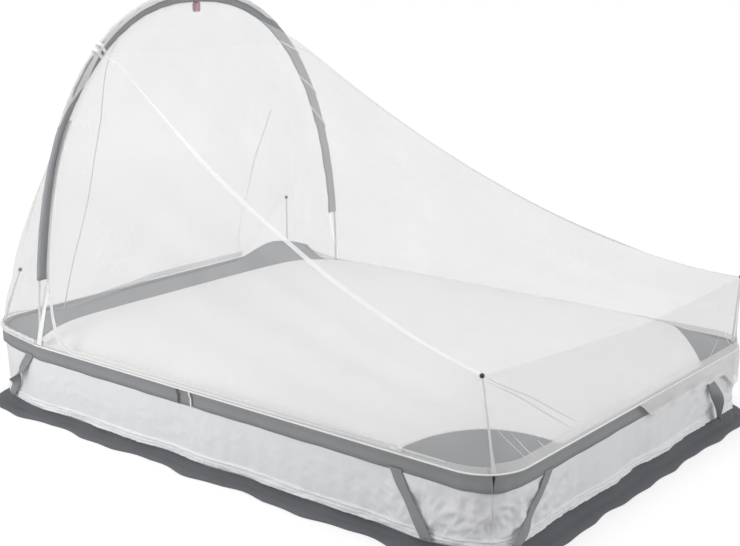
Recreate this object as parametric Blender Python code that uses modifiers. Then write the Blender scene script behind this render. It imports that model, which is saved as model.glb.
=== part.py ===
"""Mosquito net tent for a double bed.

A base frame of bendy rods lies in flat grey sleeves at the height of the mattress top.
An arch stands across it near the head, four short posts stand at its corners, and a net
canopy hangs between them. Skirts hang from the base frame down to a dark hem on the floor.

Metres, +Z up. +X points to the foot end and -Y to the near side, where the door is.
"""
import math

import bmesh
import bpy
from mathutils import Matrix, Vector

# Gaps between pieces
fit_gap = 0.0003
seam_gap = 0.0006
cut_overrun = 0.01
merge_distance = 0.00005
shortest_step = 0.004

# Base frame
base_length = 2.0
base_width = 1.45
corner_radius = 0.12
rod_height = 0.2295
head_lift = 0.03
rod_radius = 0.0035
rod_joint_x = -0.05
rail_step = 0.2
cloth_step = 0.11
corner_steps = 4

# Sleeves and other sewn bands
fabric_thickness = 0.001
ply_gap = 0.001
ply_knee = 0.013
rail_sleeve_half = 0.0065
rail_sleeve_width = 0.0525
gather_spacing = 0.075
gather_reach = 0.008
gather_swell = 0.12
ferrule_wall = 0.0007
ferrule_gap = 0.0002
ferrule_length = 0.06
piping_radius = 0.0025
piping_drop = 0.0025
piping_gap = 0.0009

# Corner sockets and the posts that stand in them
socket_length = 0.026
socket_drop = 0.0018
socket_bevel = 0.0015
socket_gap = 0.0008
rod_bore_gap = 0.0006
rod_bore_stop = 0.005
post_radius = 0.003
post_sides = 10
post_bore_gap = 0.0004
post_bore_depth = 0.036
post_rise = 0.215
post_tip_radius = 0.0065
tip_steps = 6

# Arch
arch_setback = 0.267
arch_rise = 1.08
arch_fullness = 2.28
arch_pole_radius = 0.004
arch_sleeve_half = 0.0075
arch_sleeve_width = 0.040
arch_bare_leg = 0.21
arch_steps = 32
arch_joint_step = 10
arch_ferrule_length = 0.06
arch_ferrule_gap = 0.0003
cup_radius = 0.0075
cup_height = 0.011
cup_floor = 0.002
cup_bore_gap = 0.0008
cup_sides = 12
cup_seat = 0.0085
tie_length = 0.014
tie_thickness = 0.001
tie_share = 0.31

# Lantern loop
loop_width = 0.022
loop_half_depth = 0.008
loop_drop = 0.040
loop_thickness = 0.0014
loop_turn_steps = 6
loop_gap = 0.001

# Net canopy
net_thickness = 0.0008
net_edge_gap = 0.0092
net_corner_outward = 0.0145
net_stand_off = 0.004
shoulder_y = 0.37
near_sag_power = 2.2
far_sag_power = 1.65
head_sag_power = 1.25
head_flare_power = 1.6
foot_edge_sag = 0.008
head_lip_power = 1.5
corner_tip_share = 0.25
crease_depth = 0.007
crease_count = 3
wall_crease_count = 6
seam_share = 0.001
normal_step = 0.002
net_columns = 14
roof_rows = 14
side_rows = 8
head_columns = 6
head_rows = 18
corner_columns = 3
wall_columns = 20
wall_rows = 4
tape_width = 0.009
tape_thickness = 0.0008

# Door zip
zip_width = 0.014
zip_thickness = 0.0014
zip_inset = 0.013
zip_foot_setback = 0.20
zip_corner_radius = 0.16
zip_straight_steps = 8
zip_turn_steps = 6
zip_top = 0.95
slider_setback = 0.08
slider_length = 0.013
slider_height = 0.009
slider_thickness = 0.003
slider_bevel = 0.0006
bridge_span = 0.007
bridge_rise = 0.0044
bridge_wire = 0.0008
pull_length = 0.030
pull_height = 0.0075
pull_thickness = 0.0012
pull_bar = 0.0014
pull_window = 0.0060
pull_rail = 0.0014
pull_lift = 0.0015

# Base sheet with its gussets and head strip
sheet_thickness = 0.0016
sheet_gap = 0.0014
sheet_edge_drop = 0.007
sheet_crown = 0.10
crown_power = 6
gusset_leg = 0.32
strip_side = 0.235
strip_middle = 0.135
strip_steps = 10
sheet_columns = 16
sheet_rows = 12

# Skirts, hems and straps
skirt_thickness = 0.0012
skirt_bottom = 0.034
skirt_row_count = 2
skirt_lean = 0.006
skirt_ripple = 0.004
ripple_counts = (18, 26)
hem_thickness = 0.0016
hem_width = 0.062
hem_wave = 0.007
hem_wave_count = 16
strap_width = 0.032
strap_thickness = 0.0014
foot_strap_top = 0.286
foot_strap_bottom = 0.196
head_strap_top = 0.186
head_strap_bottom = 0.106
strap_end_gap = 0.008
strap_gap = 0.0026
strap_lap = 0.008
strap_rows = 6

# Shapes of hand-drawn outlines, as shares of the sizes that they follow
hem_out_shares = (0.0, 0.16, 0.42, 1.0)
hem_up_shares = (1.0, 0.36, 0.0, 0.0)
ripple_second_share = 0.5

# Worked out from the sizes above
half_length = base_length / 2
half_width = base_width / 2
zip_foot_x = half_length - zip_foot_setback
slider_x = zip_foot_x - slider_setback
rim_outward = rail_sleeve_half + piping_radius + piping_gap
rim_up = rail_sleeve_half - piping_drop + piping_radius + fit_gap
band_bottom = rail_sleeve_width - rail_sleeve_half
arch_x = arch_setback - half_length
lift_x = arch_x - cup_seat
arch_foot_up = rail_sleeve_half + fit_gap + cup_floor + fit_gap
arch_joint_share = arch_joint_step / arch_steps
arch_sleeve_depth = arch_sleeve_width - arch_sleeve_half
head_seam_share = 2 * corner_columns / head_rows
long_straight = half_length - corner_radius
short_straight = half_width - corner_radius
corner_length = math.pi * corner_radius / 2
perimeter = 4 * (long_straight + short_straight + corner_length)
far_middle = perimeter / 2
corner_diagonal = math.cos(math.pi / 4)
CORNERS = {
    "near_foot": long_straight + corner_length / 2,
    "far_foot": long_straight + 1.5 * corner_length + 2 * short_straight,
    "far_head": 3 * long_straight + 2.5 * corner_length + 2 * short_straight,
    "near_head": 3 * long_straight + 3.5 * corner_length + 4 * short_straight,
}

COLOURS = {
    "grey_band": ((0.29, 0.30, 0.31), 0.85, 0.0),
    "dark_hem": ((0.085, 0.09, 0.10), 0.9, 0.0),
    "white_net": ((0.86, 0.87, 0.88), 0.8, 0.0),
    "white_cloth": ((0.84, 0.84, 0.83), 0.85, 0.0),
    "white_tape": ((0.88, 0.88, 0.87), 0.7, 0.0),
    "black_plastic": ((0.03, 0.03, 0.032), 0.45, 0.0),
    "fibreglass": ((0.62, 0.63, 0.62), 0.4, 0.0),
    "red_tape": ((0.45, 0.08, 0.13), 0.75, 0.0),
    "white_plastic": ((0.80, 0.80, 0.79), 0.4, 0.0),
}


# Scene set-up

def clear_scene():
    for item in list(bpy.data.objects):
        bpy.data.objects.remove(item, do_unlink=True)


def make_collection(name):
    collection = bpy.data.collections.new(name)
    bpy.context.scene.collection.children.link(collection)
    return collection


def make_materials():
    made = {}
    for name, (colour, roughness, metallic) in COLOURS.items():
        material = bpy.data.materials.new(name)
        material.use_nodes = True
        shader = material.node_tree.nodes["Principled BSDF"]
        shader.inputs["Base Color"].default_value = (*colour, 1.0)
        shader.inputs["Roughness"].default_value = roughness
        shader.inputs["Metallic"].default_value = metallic
        made[name] = material
    return made


def add_part(name, data, material):
    item = bpy.data.objects.new(name, data)
    PARTS.objects.link(item)
    data.materials.append(MATERIALS[material])
    return item


def add_cutter(name, mesh):
    item = bpy.data.objects.new(name, mesh)
    CUTTERS.objects.link(item)
    item.hide_render = True
    item.display_type = "WIRE"
    return item


def mesh_from(builder, name):
    mesh = bpy.data.meshes.new(name)
    builder.to_mesh(mesh)
    builder.free()
    return mesh


def boolean(item, cutter, operation):
    modifier = item.modifiers.new(cutter.name, "BOOLEAN")
    modifier.operation = operation
    modifier.object = cutter
    modifier.solver = "EXACT"


# General shapes

def sheet(name, material, place, columns, rows, thickness, closed=False):
    """A thin sheet: place turns (u, v), each from 0 to 1, into a point of its middle surface."""
    builder = bmesh.new()
    grid = bmesh.ops.create_grid(builder, x_segments=columns, y_segments=rows, size=0.5)
    for vert in grid["verts"]:
        vert.co = place(vert.co.x + 0.5, vert.co.y + 0.5)
    if closed:
        bmesh.ops.remove_doubles(builder, verts=builder.verts, dist=merge_distance)
    bmesh.ops.recalc_face_normals(builder, faces=builder.faces)
    mesh = mesh_from(builder, name)
    mesh.shade_smooth()
    item = add_part(name, mesh, material)
    wall = item.modifiers.new("wall", "SOLIDIFY")
    wall.thickness = thickness
    wall.offset = 0.0
    wall.use_even_offset = True
    return item


def swept(name, material, frames, profile, thickness, closed=False):
    """A sheet swept along frames (spot, across, inward), with its profile as (across, inward) points."""
    def place(u, v):
        spot, across, inward = frames[round(u * (len(frames) - 1))]
        side, depth = profile[round(v * (len(profile) - 1))]
        return spot + across * side + inward * depth
    return sheet(name, material, place, len(frames) - 1, len(profile) - 1, thickness, closed)


def band_profile(half, width):
    """A strip of cloth folded over a rod, as the middle line of its section."""
    bend = half - fabric_thickness / 2
    ply = (fabric_thickness + ply_gap) / 2
    diagonal = bend * corner_diagonal
    side = [(ply, width - half), (ply, ply_knee), (bend, 0.0), (diagonal, -diagonal)]
    return side + [(0.0, -bend)] + [(-across, inward) for across, inward in reversed(side)]


def tube(name, material, points, radius, resolution=1, cyclic=False):
    """A round bar along a list of points."""
    curve = bpy.data.curves.new(name, "CURVE")
    curve.dimensions = "3D"
    curve.bevel_depth = radius
    curve.bevel_resolution = resolution
    curve.use_fill_caps = True
    spline = curve.splines.new("POLY")
    spline.points.add(len(points) - 1)
    for point, spot in zip(spline.points, points):
        point.co = (*spot, 1.0)
    spline.use_cyclic_u = cyclic
    return add_part(name, curve, material)


def tube_mesh(name, points, radius, resolution):
    """The same bar as a mesh with welded caps, for pieces that are cut or joined."""
    item = tube(name + "_guide", "fibreglass", points, radius, resolution)
    bpy.context.view_layer.update()
    graph = bpy.context.evaluated_depsgraph_get()
    mesh = bpy.data.meshes.new_from_object(item.evaluated_get(graph))
    mesh.name = name
    mesh.materials.clear()
    builder = bmesh.new()
    builder.from_mesh(mesh)
    bmesh.ops.remove_doubles(builder, verts=builder.verts, dist=merge_distance)
    builder.to_mesh(mesh)
    builder.free()
    bpy.data.objects.remove(item, do_unlink=True)
    return mesh


def bar_mesh(name, start, end, radius, sides):
    """A straight round bar between two points."""
    run = end - start
    turn = Vector((0.0, 0.0, 1.0)).rotation_difference(run.normalized()).to_matrix().to_4x4()
    builder = bmesh.new()
    bmesh.ops.create_cone(builder, cap_ends=True, segments=sides, radius1=radius, radius2=radius,
                          depth=run.length, matrix=Matrix.Translation((start + end) / 2) @ turn)
    return mesh_from(builder, name)


def box_mesh(name, size, place, bevel=0.0):
    builder = bmesh.new()
    bmesh.ops.create_cube(builder, size=1.0, matrix=place @ Matrix.Diagonal((*size, 1.0)))
    if bevel:
        bmesh.ops.bevel(builder, geom=builder.edges[:], offset=bevel, segments=1, profile=0.5,
                        affect="EDGES")
    return mesh_from(builder, name)


def turned(name, material, profile, spot, sides):
    """A turned piece: its profile is a list of (radius, height) from the top down."""
    builder = bmesh.new()
    verts = [builder.verts.new((radius, 0.0, height)) for radius, height in profile]
    for first, second in zip(verts, verts[1:]):
        builder.edges.new((first, second))
    mesh = mesh_from(builder, name)
    item = add_part(name, mesh, material)
    item.location = spot
    screw = item.modifiers.new("turn", "SCREW")
    screw.steps = screw.render_steps = sides
    screw.use_merge_vertices = True
    screw.merge_threshold = merge_distance
    screw.use_smooth_shade = True
    return item


def prism_mesh(name, outline, low, high):
    """An upright prism over a flat outline."""
    curve = bpy.data.curves.new(name, "CURVE")
    curve.dimensions = "2D"
    curve.fill_mode = "BOTH"
    curve.extrude = (high - low) / 2
    spline = curve.splines.new("POLY")
    spline.points.add(len(outline) - 1)
    for point, (x, y) in zip(spline.points, outline):
        point.co = (x, y, 0.0, 1.0)
    spline.use_cyclic_u = True
    item = bpy.data.objects.new(name, curve)
    CUTTERS.objects.link(item)
    item.location.z = (low + high) / 2
    bpy.context.view_layer.update()
    graph = bpy.context.evaluated_depsgraph_get()
    mesh = bpy.data.meshes.new_from_object(item.evaluated_get(graph))
    mesh.transform(item.matrix_world)
    builder = bmesh.new()
    builder.from_mesh(mesh)
    bmesh.ops.remove_doubles(builder, verts=builder.verts, dist=merge_distance)
    builder.to_mesh(mesh)
    builder.free()
    bpy.data.objects.remove(item, do_unlink=True)
    return mesh


def between(stations, place):
    """The two stations on either side of a place, and how far it lies from the first to the second."""
    for first, second in zip(stations, stations[1:]):
        if place <= second:
            break
    return first, second, min(max((place - first) / (second - first), 0.0), 1.0)


# The base frame's path, anticlockwise from the middle of the near side

def rod_z(x):
    """The height of the rods: level from the foot to the arch, then rising to the head."""
    return rod_height + head_lift * max(lift_x - x, 0.0) / (lift_x + half_length)


def rail_place(distance):
    """The point of the rods' centre line at a distance along it, and the direction outward."""
    distance = distance % perimeter
    spans = (
        (long_straight, (0.0, -half_width), 0),
        (corner_length, (long_straight, -short_straight), -90),
        (2 * short_straight, (half_length, -short_straight), 90),
        (corner_length, (long_straight, short_straight), 0),
        (2 * long_straight, (long_straight, half_width), 180),
        (corner_length, (-long_straight, short_straight), 90),
        (2 * short_straight, (-half_length, short_straight), 270),
        (corner_length, (-long_straight, -short_straight), 180),
        (long_straight, (-long_straight, -half_width), 0),
    )
    for index, (length, start, degrees) in enumerate(spans):
        if distance <= length or index == len(spans) - 1:
            break
        distance -= length
    angle = math.radians(degrees)
    if index % 2:
        angle += distance / corner_radius
        outward = Vector((math.cos(angle), math.sin(angle), 0.0))
        return Vector((*start, 0.0)) + outward * corner_radius, outward
    along = Vector((math.cos(angle), math.sin(angle), 0.0))
    return Vector((*start, 0.0)) + along * distance, Vector((along.y, -along.x, 0.0))


def rail_spot(distance, outward=0.0, up=0.0):
    """A point beside the rods, with its height measured from the rods where they stand."""
    spot, direction = rail_place(distance)
    height = rod_z(spot.x) + up
    spot += direction * outward
    return Vector((spot.x, spot.y, height))


def rail_stations(start, end, step=rail_step, extra=()):
    """Distances from start to end, closer together round the corners."""
    marks = {start, end, *extra}
    for turn in (-perimeter, 0.0, perimeter):
        marks |= {turn + lift_x, turn + far_middle - lift_x}
        for middle in CORNERS.values():
            for part in range(-corner_steps, corner_steps + 1):
                marks.add(turn + middle + part * corner_length / (2 * corner_steps))
            for part in (-1, 1):
                marks.add(turn + middle + part * (socket_length / 2 + socket_gap))
    marks = sorted(mark for mark in marks if start <= mark <= end)
    stations = [marks[0]]
    for mark in marks[1:]:
        first = stations[-1]
        if mark - first < shortest_step and mark < end:
            continue
        parts = math.ceil((mark - first) / step - merge_distance)
        stations += [first + (mark - first) * part / parts for part in range(1, parts + 1)]
    return stations


def rim_side_y(x):
    """Half the width of the line that the net stands on, at a place along the tent."""
    past = max(abs(x) - long_straight, 0.0)
    radius = corner_radius + rim_outward
    return short_straight + math.sqrt(max(radius * radius - past * past, 0.0))


def rim_end_x(y):
    """Half the length of the line that the net stands on, at a place across the tent."""
    past = max(abs(y) - short_straight, 0.0)
    radius = corner_radius + rim_outward
    return long_straight + math.sqrt(max(radius * radius - past * past, 0.0))


# Base frame

def add_ferrule(item, inner, joint, outer, radius, gap):
    """Fixes a ferrule to a rod that ends at the joint, open on its outer side for the next rod."""
    cover = tube_mesh(item.name + "_ferrule", [inner, joint, outer], radius + gap + ferrule_wall, 2)
    boolean(item, add_cutter(item.name + "_ferrule", cover), "UNION")
    past = outer + (outer - joint).normalized() * cut_overrun
    bore = bar_mesh(item.name + "_bore", joint, past, radius + gap, 16)
    boolean(item, add_cutter(item.name + "_bore", bore), "DIFFERENCE")


def add_rods():
    stop = rod_bore_stop + fit_gap
    clear = socket_length / 2 + socket_gap
    near_joint, far_joint = rod_joint_x, far_middle - rod_joint_x
    spans = {
        "foot_rod": (CORNERS["near_foot"], CORNERS["far_foot"]),
        "head_rod": (CORNERS["far_head"], CORNERS["near_head"]),
        "near_foot_rod": (near_joint + fit_gap, CORNERS["near_foot"]),
        "near_head_rod": (CORNERS["near_head"], perimeter + near_joint),
        "far_foot_rod": (CORNERS["far_foot"], far_joint - fit_gap),
        "far_head_rod": (far_joint, CORNERS["far_head"]),
    }
    corners = list(CORNERS.values())
    for name, (start, end) in spans.items():
        stations = rail_stations(start + clear * (start in corners), end - clear * (end in corners))
        if start in corners:
            stations.insert(0, start + stop)
        if end in corners:
            stations.append(end - stop)
        points = [rail_spot(mark) for mark in stations]
        if name in ("near_head_rod", "far_head_rod"):
            rod = add_part(name, tube_mesh(name, points, rod_radius, 1), "fibreglass")
            joint = near_joint if name == "near_head_rod" else far_joint
            reach = ferrule_length / 2 * (1 if name == "near_head_rod" else -1)
            spots = [rail_spot(joint - reach), rail_spot(joint), rail_spot(joint + reach)]
            add_ferrule(rod, *spots, rod_radius, ferrule_gap)
        else:
            tube(name, "fibreglass", points, rod_radius)


def add_sockets():
    low, high = socket_drop - band_bottom, rail_sleeve_half
    for corner, distance in CORNERS.items():
        outward = rail_place(distance)[1]
        name = corner + "_socket"
        turn = Matrix.Rotation(math.atan2(outward.y, outward.x) + math.pi / 2, 4, "Z")
        centre = Matrix.Translation(rail_spot(distance, up=(low + high) / 2))
        size = (socket_length, 2 * rail_sleeve_half, high - low)
        block = add_part(name, box_mesh(name, size, centre @ turn, socket_bevel), "black_plastic")
        for side in (-1, 1):
            inner = rail_spot(distance + side * rod_bore_stop)
            outer = rail_spot(distance + side * socket_length / 2)
            outer += (outer - inner).normalized() * cut_overrun
            bore = bar_mesh(f"{name}_bore", inner, outer, rod_radius + rod_bore_gap, 10)
            boolean(block, add_cutter(f"{name}_bore_{side}", bore), "DIFFERENCE")
        floor = rail_spot(distance, up=high - post_bore_depth)
        mouth = rail_spot(distance, up=high + cut_overrun)
        bore = bar_mesh(name + "_post_bore", floor, mouth, post_radius + post_bore_gap, post_sides)
        boolean(block, add_cutter(name + "_post_bore", bore), "DIFFERENCE")


def add_posts():
    """Short upright rods with ball tips, under the four corners of the net."""
    length = post_bore_depth + post_rise - fit_gap - net_thickness / 2 - seam_gap
    centre = length - post_tip_radius
    turns = [math.pi * step / tip_steps for step in range(tip_steps)]
    tip = [(post_tip_radius * math.sin(turn), centre + post_tip_radius * math.cos(turn)) for turn in turns]
    neck = centre - math.sqrt(post_tip_radius ** 2 - post_radius ** 2)
    profile = [spot for spot in tip if spot[1] > neck or spot[0] > post_radius]
    profile += [(post_radius, neck), (post_radius, 0.0), (0.0, 0.0)]
    for corner, distance in CORNERS.items():
        foot = rail_spot(distance, up=rail_sleeve_half - post_bore_depth + fit_gap)
        turned(corner + "_post", "black_plastic", profile, foot, post_sides)


def sleeve_frames(start, end, joint=None):
    """Sweep frames of a band that hangs from the rods, gathered on either side of a rod joint."""
    gathers = []
    if joint is not None:
        gathers = [joint - gather_spacing / 2, joint + gather_spacing / 2]
    extra = [gather + part * gather_reach for gather in gathers for part in (-1, 0, 1)]
    frames = []
    for mark in rail_stations(start, end, extra=extra):
        swell = 1.0
        for gather in gathers:
            swell += gather_swell * max(1 - abs(mark - gather) / gather_reach, 0.0)
        frames.append((rail_spot(mark), rail_place(mark)[1] * swell, Vector((0.0, 0.0, -1.0))))
    return frames


def add_sleeves():
    clear = socket_length / 2 + socket_gap
    spans = {
        "near_sleeve": (CORNERS["near_head"] - perimeter, CORNERS["near_foot"], rod_joint_x),
        "foot_sleeve": (CORNERS["near_foot"], CORNERS["far_foot"], None),
        "far_sleeve": (CORNERS["far_foot"], CORNERS["far_head"], far_middle - rod_joint_x),
        "head_sleeve": (CORNERS["far_head"], CORNERS["near_head"], None),
    }
    profile = band_profile(rail_sleeve_half, rail_sleeve_width)
    for name, (start, end, joint) in spans.items():
        frames = sleeve_frames(start + clear, end - clear, joint)
        swept(name, "grey_band", frames, profile, fabric_thickness)


def add_piping():
    up = rail_sleeve_half - piping_drop
    stations = rail_stations(rod_joint_x, rod_joint_x + perimeter)[:-1]
    points = [rail_spot(mark, rim_outward, up) for mark in stations]
    tube("rail_piping", "white_tape", points, piping_radius, cyclic=True)


# Arch

def arch_curve(share, half_span, rise, foot_up):
    """A point of a rounded arch over the tent, from the near foot at 0 to the far foot at 1."""
    turn = math.pi * min(max(share, 0.0), 1.0)
    power = 2 / arch_fullness
    across = math.copysign(abs(math.cos(turn)) ** power, -math.cos(turn))
    height = rod_z(arch_x) + foot_up + rise * max(math.sin(turn), 0.0) ** power
    return Vector((arch_x, half_span * across, height))


def pole_spot(share):
    """A point of the pole's centre line, which runs straight from one station to the next."""
    index = min(max(math.floor(share * arch_steps), 0), arch_steps - 1)
    first = arch_curve(index / arch_steps, half_width, arch_rise, arch_foot_up)
    second = arch_curve((index + 1) / arch_steps, half_width, arch_rise, arch_foot_up)
    return first.lerp(second, min(max(share * arch_steps - index, 0.0), 1.0))


def pole_frame(share):
    """The pole's place, the tent's long direction and the direction into the arch."""
    step = 1 / (8 * arch_steps)
    along = (pole_spot(share + step) - pole_spot(share - step)).normalized()
    return pole_spot(share), Vector((1.0, 0.0, 0.0)), Vector((0.0, along.z, -along.y))


def arch_shares(start, end):
    """Shares from start to end through the pole's stations."""
    inside = [step / arch_steps for step in range(arch_steps + 1)]
    margin = 1 / (4 * arch_steps)
    return [start] + [share for share in inside if start + margin < share < end - margin] + [end]


def share_at_rise(height):
    """How far along the arch the pole has climbed to a height above its foot."""
    return math.asin((height / arch_rise) ** (arch_fullness / 2)) / math.pi


def share_of_length(share, length):
    """The share of the arch that a short length covers at a place along it."""
    step = 1 / arch_steps
    return length * step / (pole_spot(share + step / 2) - pole_spot(share - step / 2)).length


def add_arch():
    joints = (arch_joint_share, 1 - arch_joint_share)
    gap = share_of_length(joints[0], fit_gap)
    spans = {
        "near_arch_pole": (0.0, joints[0] - gap),
        "crown_arch_pole": joints,
        "far_arch_pole": (joints[1] + gap, 1.0),
    }
    for name, (start, end) in spans.items():
        points = [pole_spot(share) for share in arch_shares(start, end)]
        if name == "crown_arch_pole":
            pole = add_part(name, tube_mesh(name, points, arch_pole_radius, 2), "fibreglass")
        else:
            tube(name, "fibreglass", points, arch_pole_radius, resolution=2)
    reach = share_of_length(joints[0], arch_ferrule_length / 2)
    ends = (("near", joints[0], reach), ("far", joints[1], -reach))
    bore_radius = arch_pole_radius + arch_ferrule_gap
    for side, joint, inward in ends:
        spots = [pole_spot(joint + inward), pole_spot(joint), pole_spot(joint - inward)]
        cover = tube_mesh(side + "_arch_ferrule", spots, bore_radius + ferrule_wall, 2)
        boolean(pole, add_cutter(side + "_arch_ferrule", cover), "UNION")
    for side, joint, inward in ends:
        past = pole_spot(joint - inward)
        past += (past - pole_spot(joint)).normalized() * cut_overrun
        bore = bar_mesh(side + "_arch_bore", pole_spot(joint), past, bore_radius, 16)
        boolean(pole, add_cutter(side + "_arch_bore", bore), "DIFFERENCE")

    bare = share_at_rise(arch_bare_leg)
    frames = [pole_frame(share) for share in arch_shares(bare, 1 - bare)]
    profile = band_profile(arch_sleeve_half, arch_sleeve_width)
    swept("arch_sleeve", "grey_band", frames, profile, fabric_thickness)


def add_shoulder_ties():
    """Short tapes wrapped round the sleeve where the net's ridges pull on the arch."""
    out = arch_sleeve_half + fit_gap + tie_thickness / 2
    depth = arch_sleeve_depth + fit_gap + tie_thickness / 2
    profile = [(-out, -out), (out, -out), (out, depth), (-out, depth), (-out, -out)]
    reach = share_of_length(tie_share, tie_length / 2)
    for name, middle in (("near_shoulder_tie", tie_share), ("far_shoulder_tie", 1 - tie_share)):
        frames = [pole_frame(middle - reach), pole_frame(middle + reach)]
        swept(name, "white_tape", frames, profile, tie_thickness, closed=True)


def add_arch_cups():
    """Cups on the base sleeves that the arch's feet stand and rock in."""
    bore = arch_pole_radius + cup_bore_gap
    profile = [(0.0, cup_floor), (bore, cup_floor), (bore, cup_height), (cup_radius, cup_height),
               (cup_radius, 0.0), (0.0, 0.0)]
    for name, share in (("near_arch_cup", 0.0), ("far_arch_cup", 1.0)):
        foot = pole_spot(share) - Vector((0.0, 0.0, cup_floor + fit_gap))
        turned(name, "black_plastic", profile, foot, cup_sides)


def add_lantern_loop():
    """A tape loop that hangs and swings under the middle of the arch."""
    radius = loop_half_depth - loop_thickness / 2
    axis = pole_spot(0.5) - Vector((0.0, 0.0, arch_sleeve_depth + loop_gap + loop_half_depth))
    straight = loop_drop - 2 * loop_half_depth
    turns = [math.pi * step / loop_turn_steps for step in range(loop_turn_steps + 1)]
    top = [(radius * math.cos(turn), radius * math.sin(turn)) for turn in turns]
    outline = top + [(-across, -straight - up) for across, up in top] + top[:1]
    frames = []
    for side in (-0.5, 0.5):
        spot = Vector((0.0, side * loop_width, 0.0))
        frames.append((spot, Vector((1.0, 0.0, 0.0)), Vector((0.0, 0.0, 1.0))))
    loop = swept("lantern_loop", "red_tape", frames, outline, loop_thickness, closed=True)
    loop.location = axis
    return axis


# Net canopy

def shoulder_share():
    across = shoulder_y / (half_width + rim_outward)
    return math.acos(across ** (arch_fullness / 2)) / math.pi


class NetEnd:
    """The foot or the head part of the net, from the arch to its two post corners."""

    def __init__(self, side, near_power, far_power, flare_power):
        place = CORNERS["near_foot" if side > 0 else "near_head"]
        self.side = side
        self.start_x = arch_x + side * net_edge_gap
        self.rim_corner = rail_spot(place, rim_outward, rim_up)
        self.corner = rail_spot(place, net_corner_outward, rail_sleeve_half + post_rise)
        self.near_power = near_power
        self.far_power = far_power
        self.flare_power = flare_power

    def end_top(self, across):
        """The net's far edge from corner to corner; across runs from -1 on the near side to 1."""
        y = -self.corner.y * across
        if self.side > 0:
            return Vector((self.corner.x, y, self.corner.z - foot_edge_sag * (1 - across * across)))
        limit = 1 - head_seam_share
        climb = (max(abs(across) - limit, 0.0) / head_seam_share) ** head_lip_power
        spread = -self.corner.x - rim_end_x(self.corner.y)
        edge_x = -rim_end_x(y) - spread * climb
        low = rod_z(edge_x) + rim_up
        return Vector((edge_x, y, low + (self.corner.z - low) * climb))

    def point(self, u, share):
        """u runs from the arch to the far edge, share from the near rail over the top to the far rail."""
        near_share = min(share, 1 - share)
        hand = 1 if share <= 0.5 else -1
        shoulder = shoulder_share()
        start_rim = rod_z(arch_x) + rim_up
        rise = pole_spot(0.5).z + net_stand_off - start_rim
        start = arch_curve(near_share, half_width + rim_outward, rise, rim_up)
        shift = 0.0
        if near_share < shoulder:
            climb = near_share / shoulder
            rim_x = self.start_x + (self.rim_corner.x - self.start_x) * u
            rim = rod_z(rim_x) + rim_up
            end = self.rim_corner.lerp(self.corner, climb)
            end.z = rim + (self.corner.z - rim) * climb
            start.z += (rim - start_rim) * (1 - climb)
            flare = (1 - u) ** self.flare_power
            straight = self.rim_corner.y - (half_width + rim_outward + self.rim_corner.y) * flare
            shift = (-rim_side_y(rim_x) - straight) * (1 - climb * climb)
        else:
            end = self.end_top((near_share - 0.5) / (0.5 - shoulder))
        lean = min(max((share - shoulder) / (1 - 2 * shoulder), 0.0), 1.0)
        power = self.near_power + (self.far_power - self.near_power) * lean
        x = self.start_x + (end.x - self.start_x) * u
        y = end.y + (start.y - end.y) * (1 - u) ** self.flare_power + shift
        z = end.z + (start.z - end.z) * (1 - u) ** power
        return Vector((x, hand * y, z))

    def creased(self, u, share, low, high):
        """The same point, drawn in by soft drape folds that fade out at every edge."""
        spot = self.point(u, share)
        place = (share - low) / (high - low)
        window = (4 * u * (1 - u) * 4 * place * (1 - place)) ** 2
        fold = math.sin(2 * math.pi * (crease_count * place + u))
        outward = Vector((0.0, spot.y, spot.z - rod_z(arch_x))).normalized()
        return spot - outward * crease_depth * (1 - fold) * window

    def corner_point(self, u, v):
        """The upright net round a head corner, from the post at 0 to the head seam at 1."""
        reach = head_seam_share * (u if u < 1 else 1 - corner_tip_share / corner_columns)
        high = self.end_top(reach - 1)
        low_y = self.rim_corner.y * (1 - reach)
        low_x = -rim_end_x(low_y)
        low = Vector((low_x, low_y, rod_z(low_x) + rim_up))
        high.z -= 2 * seam_gap
        return low.lerp(high, v)

    def normal(self, u, share):
        step = normal_step
        along = self.point(min(u + step, 1), share) - self.point(max(u - step, 0), share)
        across = self.point(u, share + step) - self.point(u, share - step)
        return along.cross(across).normalized() * self.side


def net_u(share):
    """Columns of a net panel lie closer together towards the arch and the corner."""
    return (1 - seam_share) * (share / 2 + (1 - math.cos(math.pi * share)) / 4)


def net_panel(name, end, low, high, columns, rows):
    first = low + seam_share * (low > 0)
    last = high - seam_share * (high < 1)

    def place(u, v):
        return end.creased(net_u(u), first + (last - first) * v, low, high)
    sheet(name, "white_net", place, columns, rows, net_thickness)


def head_side_panel(name, end, hand, columns, corner_columns, rows):
    """A side of the net from the arch to the head post and on round the corner to the head seam."""
    last = shoulder_share() - seam_share
    fraction = columns / (columns + corner_columns)

    def place(u, v):
        if u < fraction + merge_distance:
            spot = end.creased(min(u / fraction, 1.0), last * v, 0.0, last)
        else:
            spot = end.corner_point((u - fraction) / (1 - fraction), v)
        spot.y *= hand
        return spot
    sheet(name, "white_net", place, columns + corner_columns, rows, net_thickness)


def add_net_panels(foot, head):
    near, far = shoulder_share(), 1 - shoulder_share()
    net_panel("foot_roof_net", foot, near, far, net_columns, roof_rows)
    net_panel("near_side_net", foot, 0.0, near, net_columns, side_rows)
    net_panel("far_side_net", foot, far, 1.0, net_columns, side_rows)
    net_panel("head_roof_net", head, near, far, head_columns, head_rows)
    head_side_panel("near_head_net", head, 1, head_columns, corner_columns, side_rows)
    head_side_panel("far_head_net", head, -1, head_columns, corner_columns, side_rows)


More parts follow.
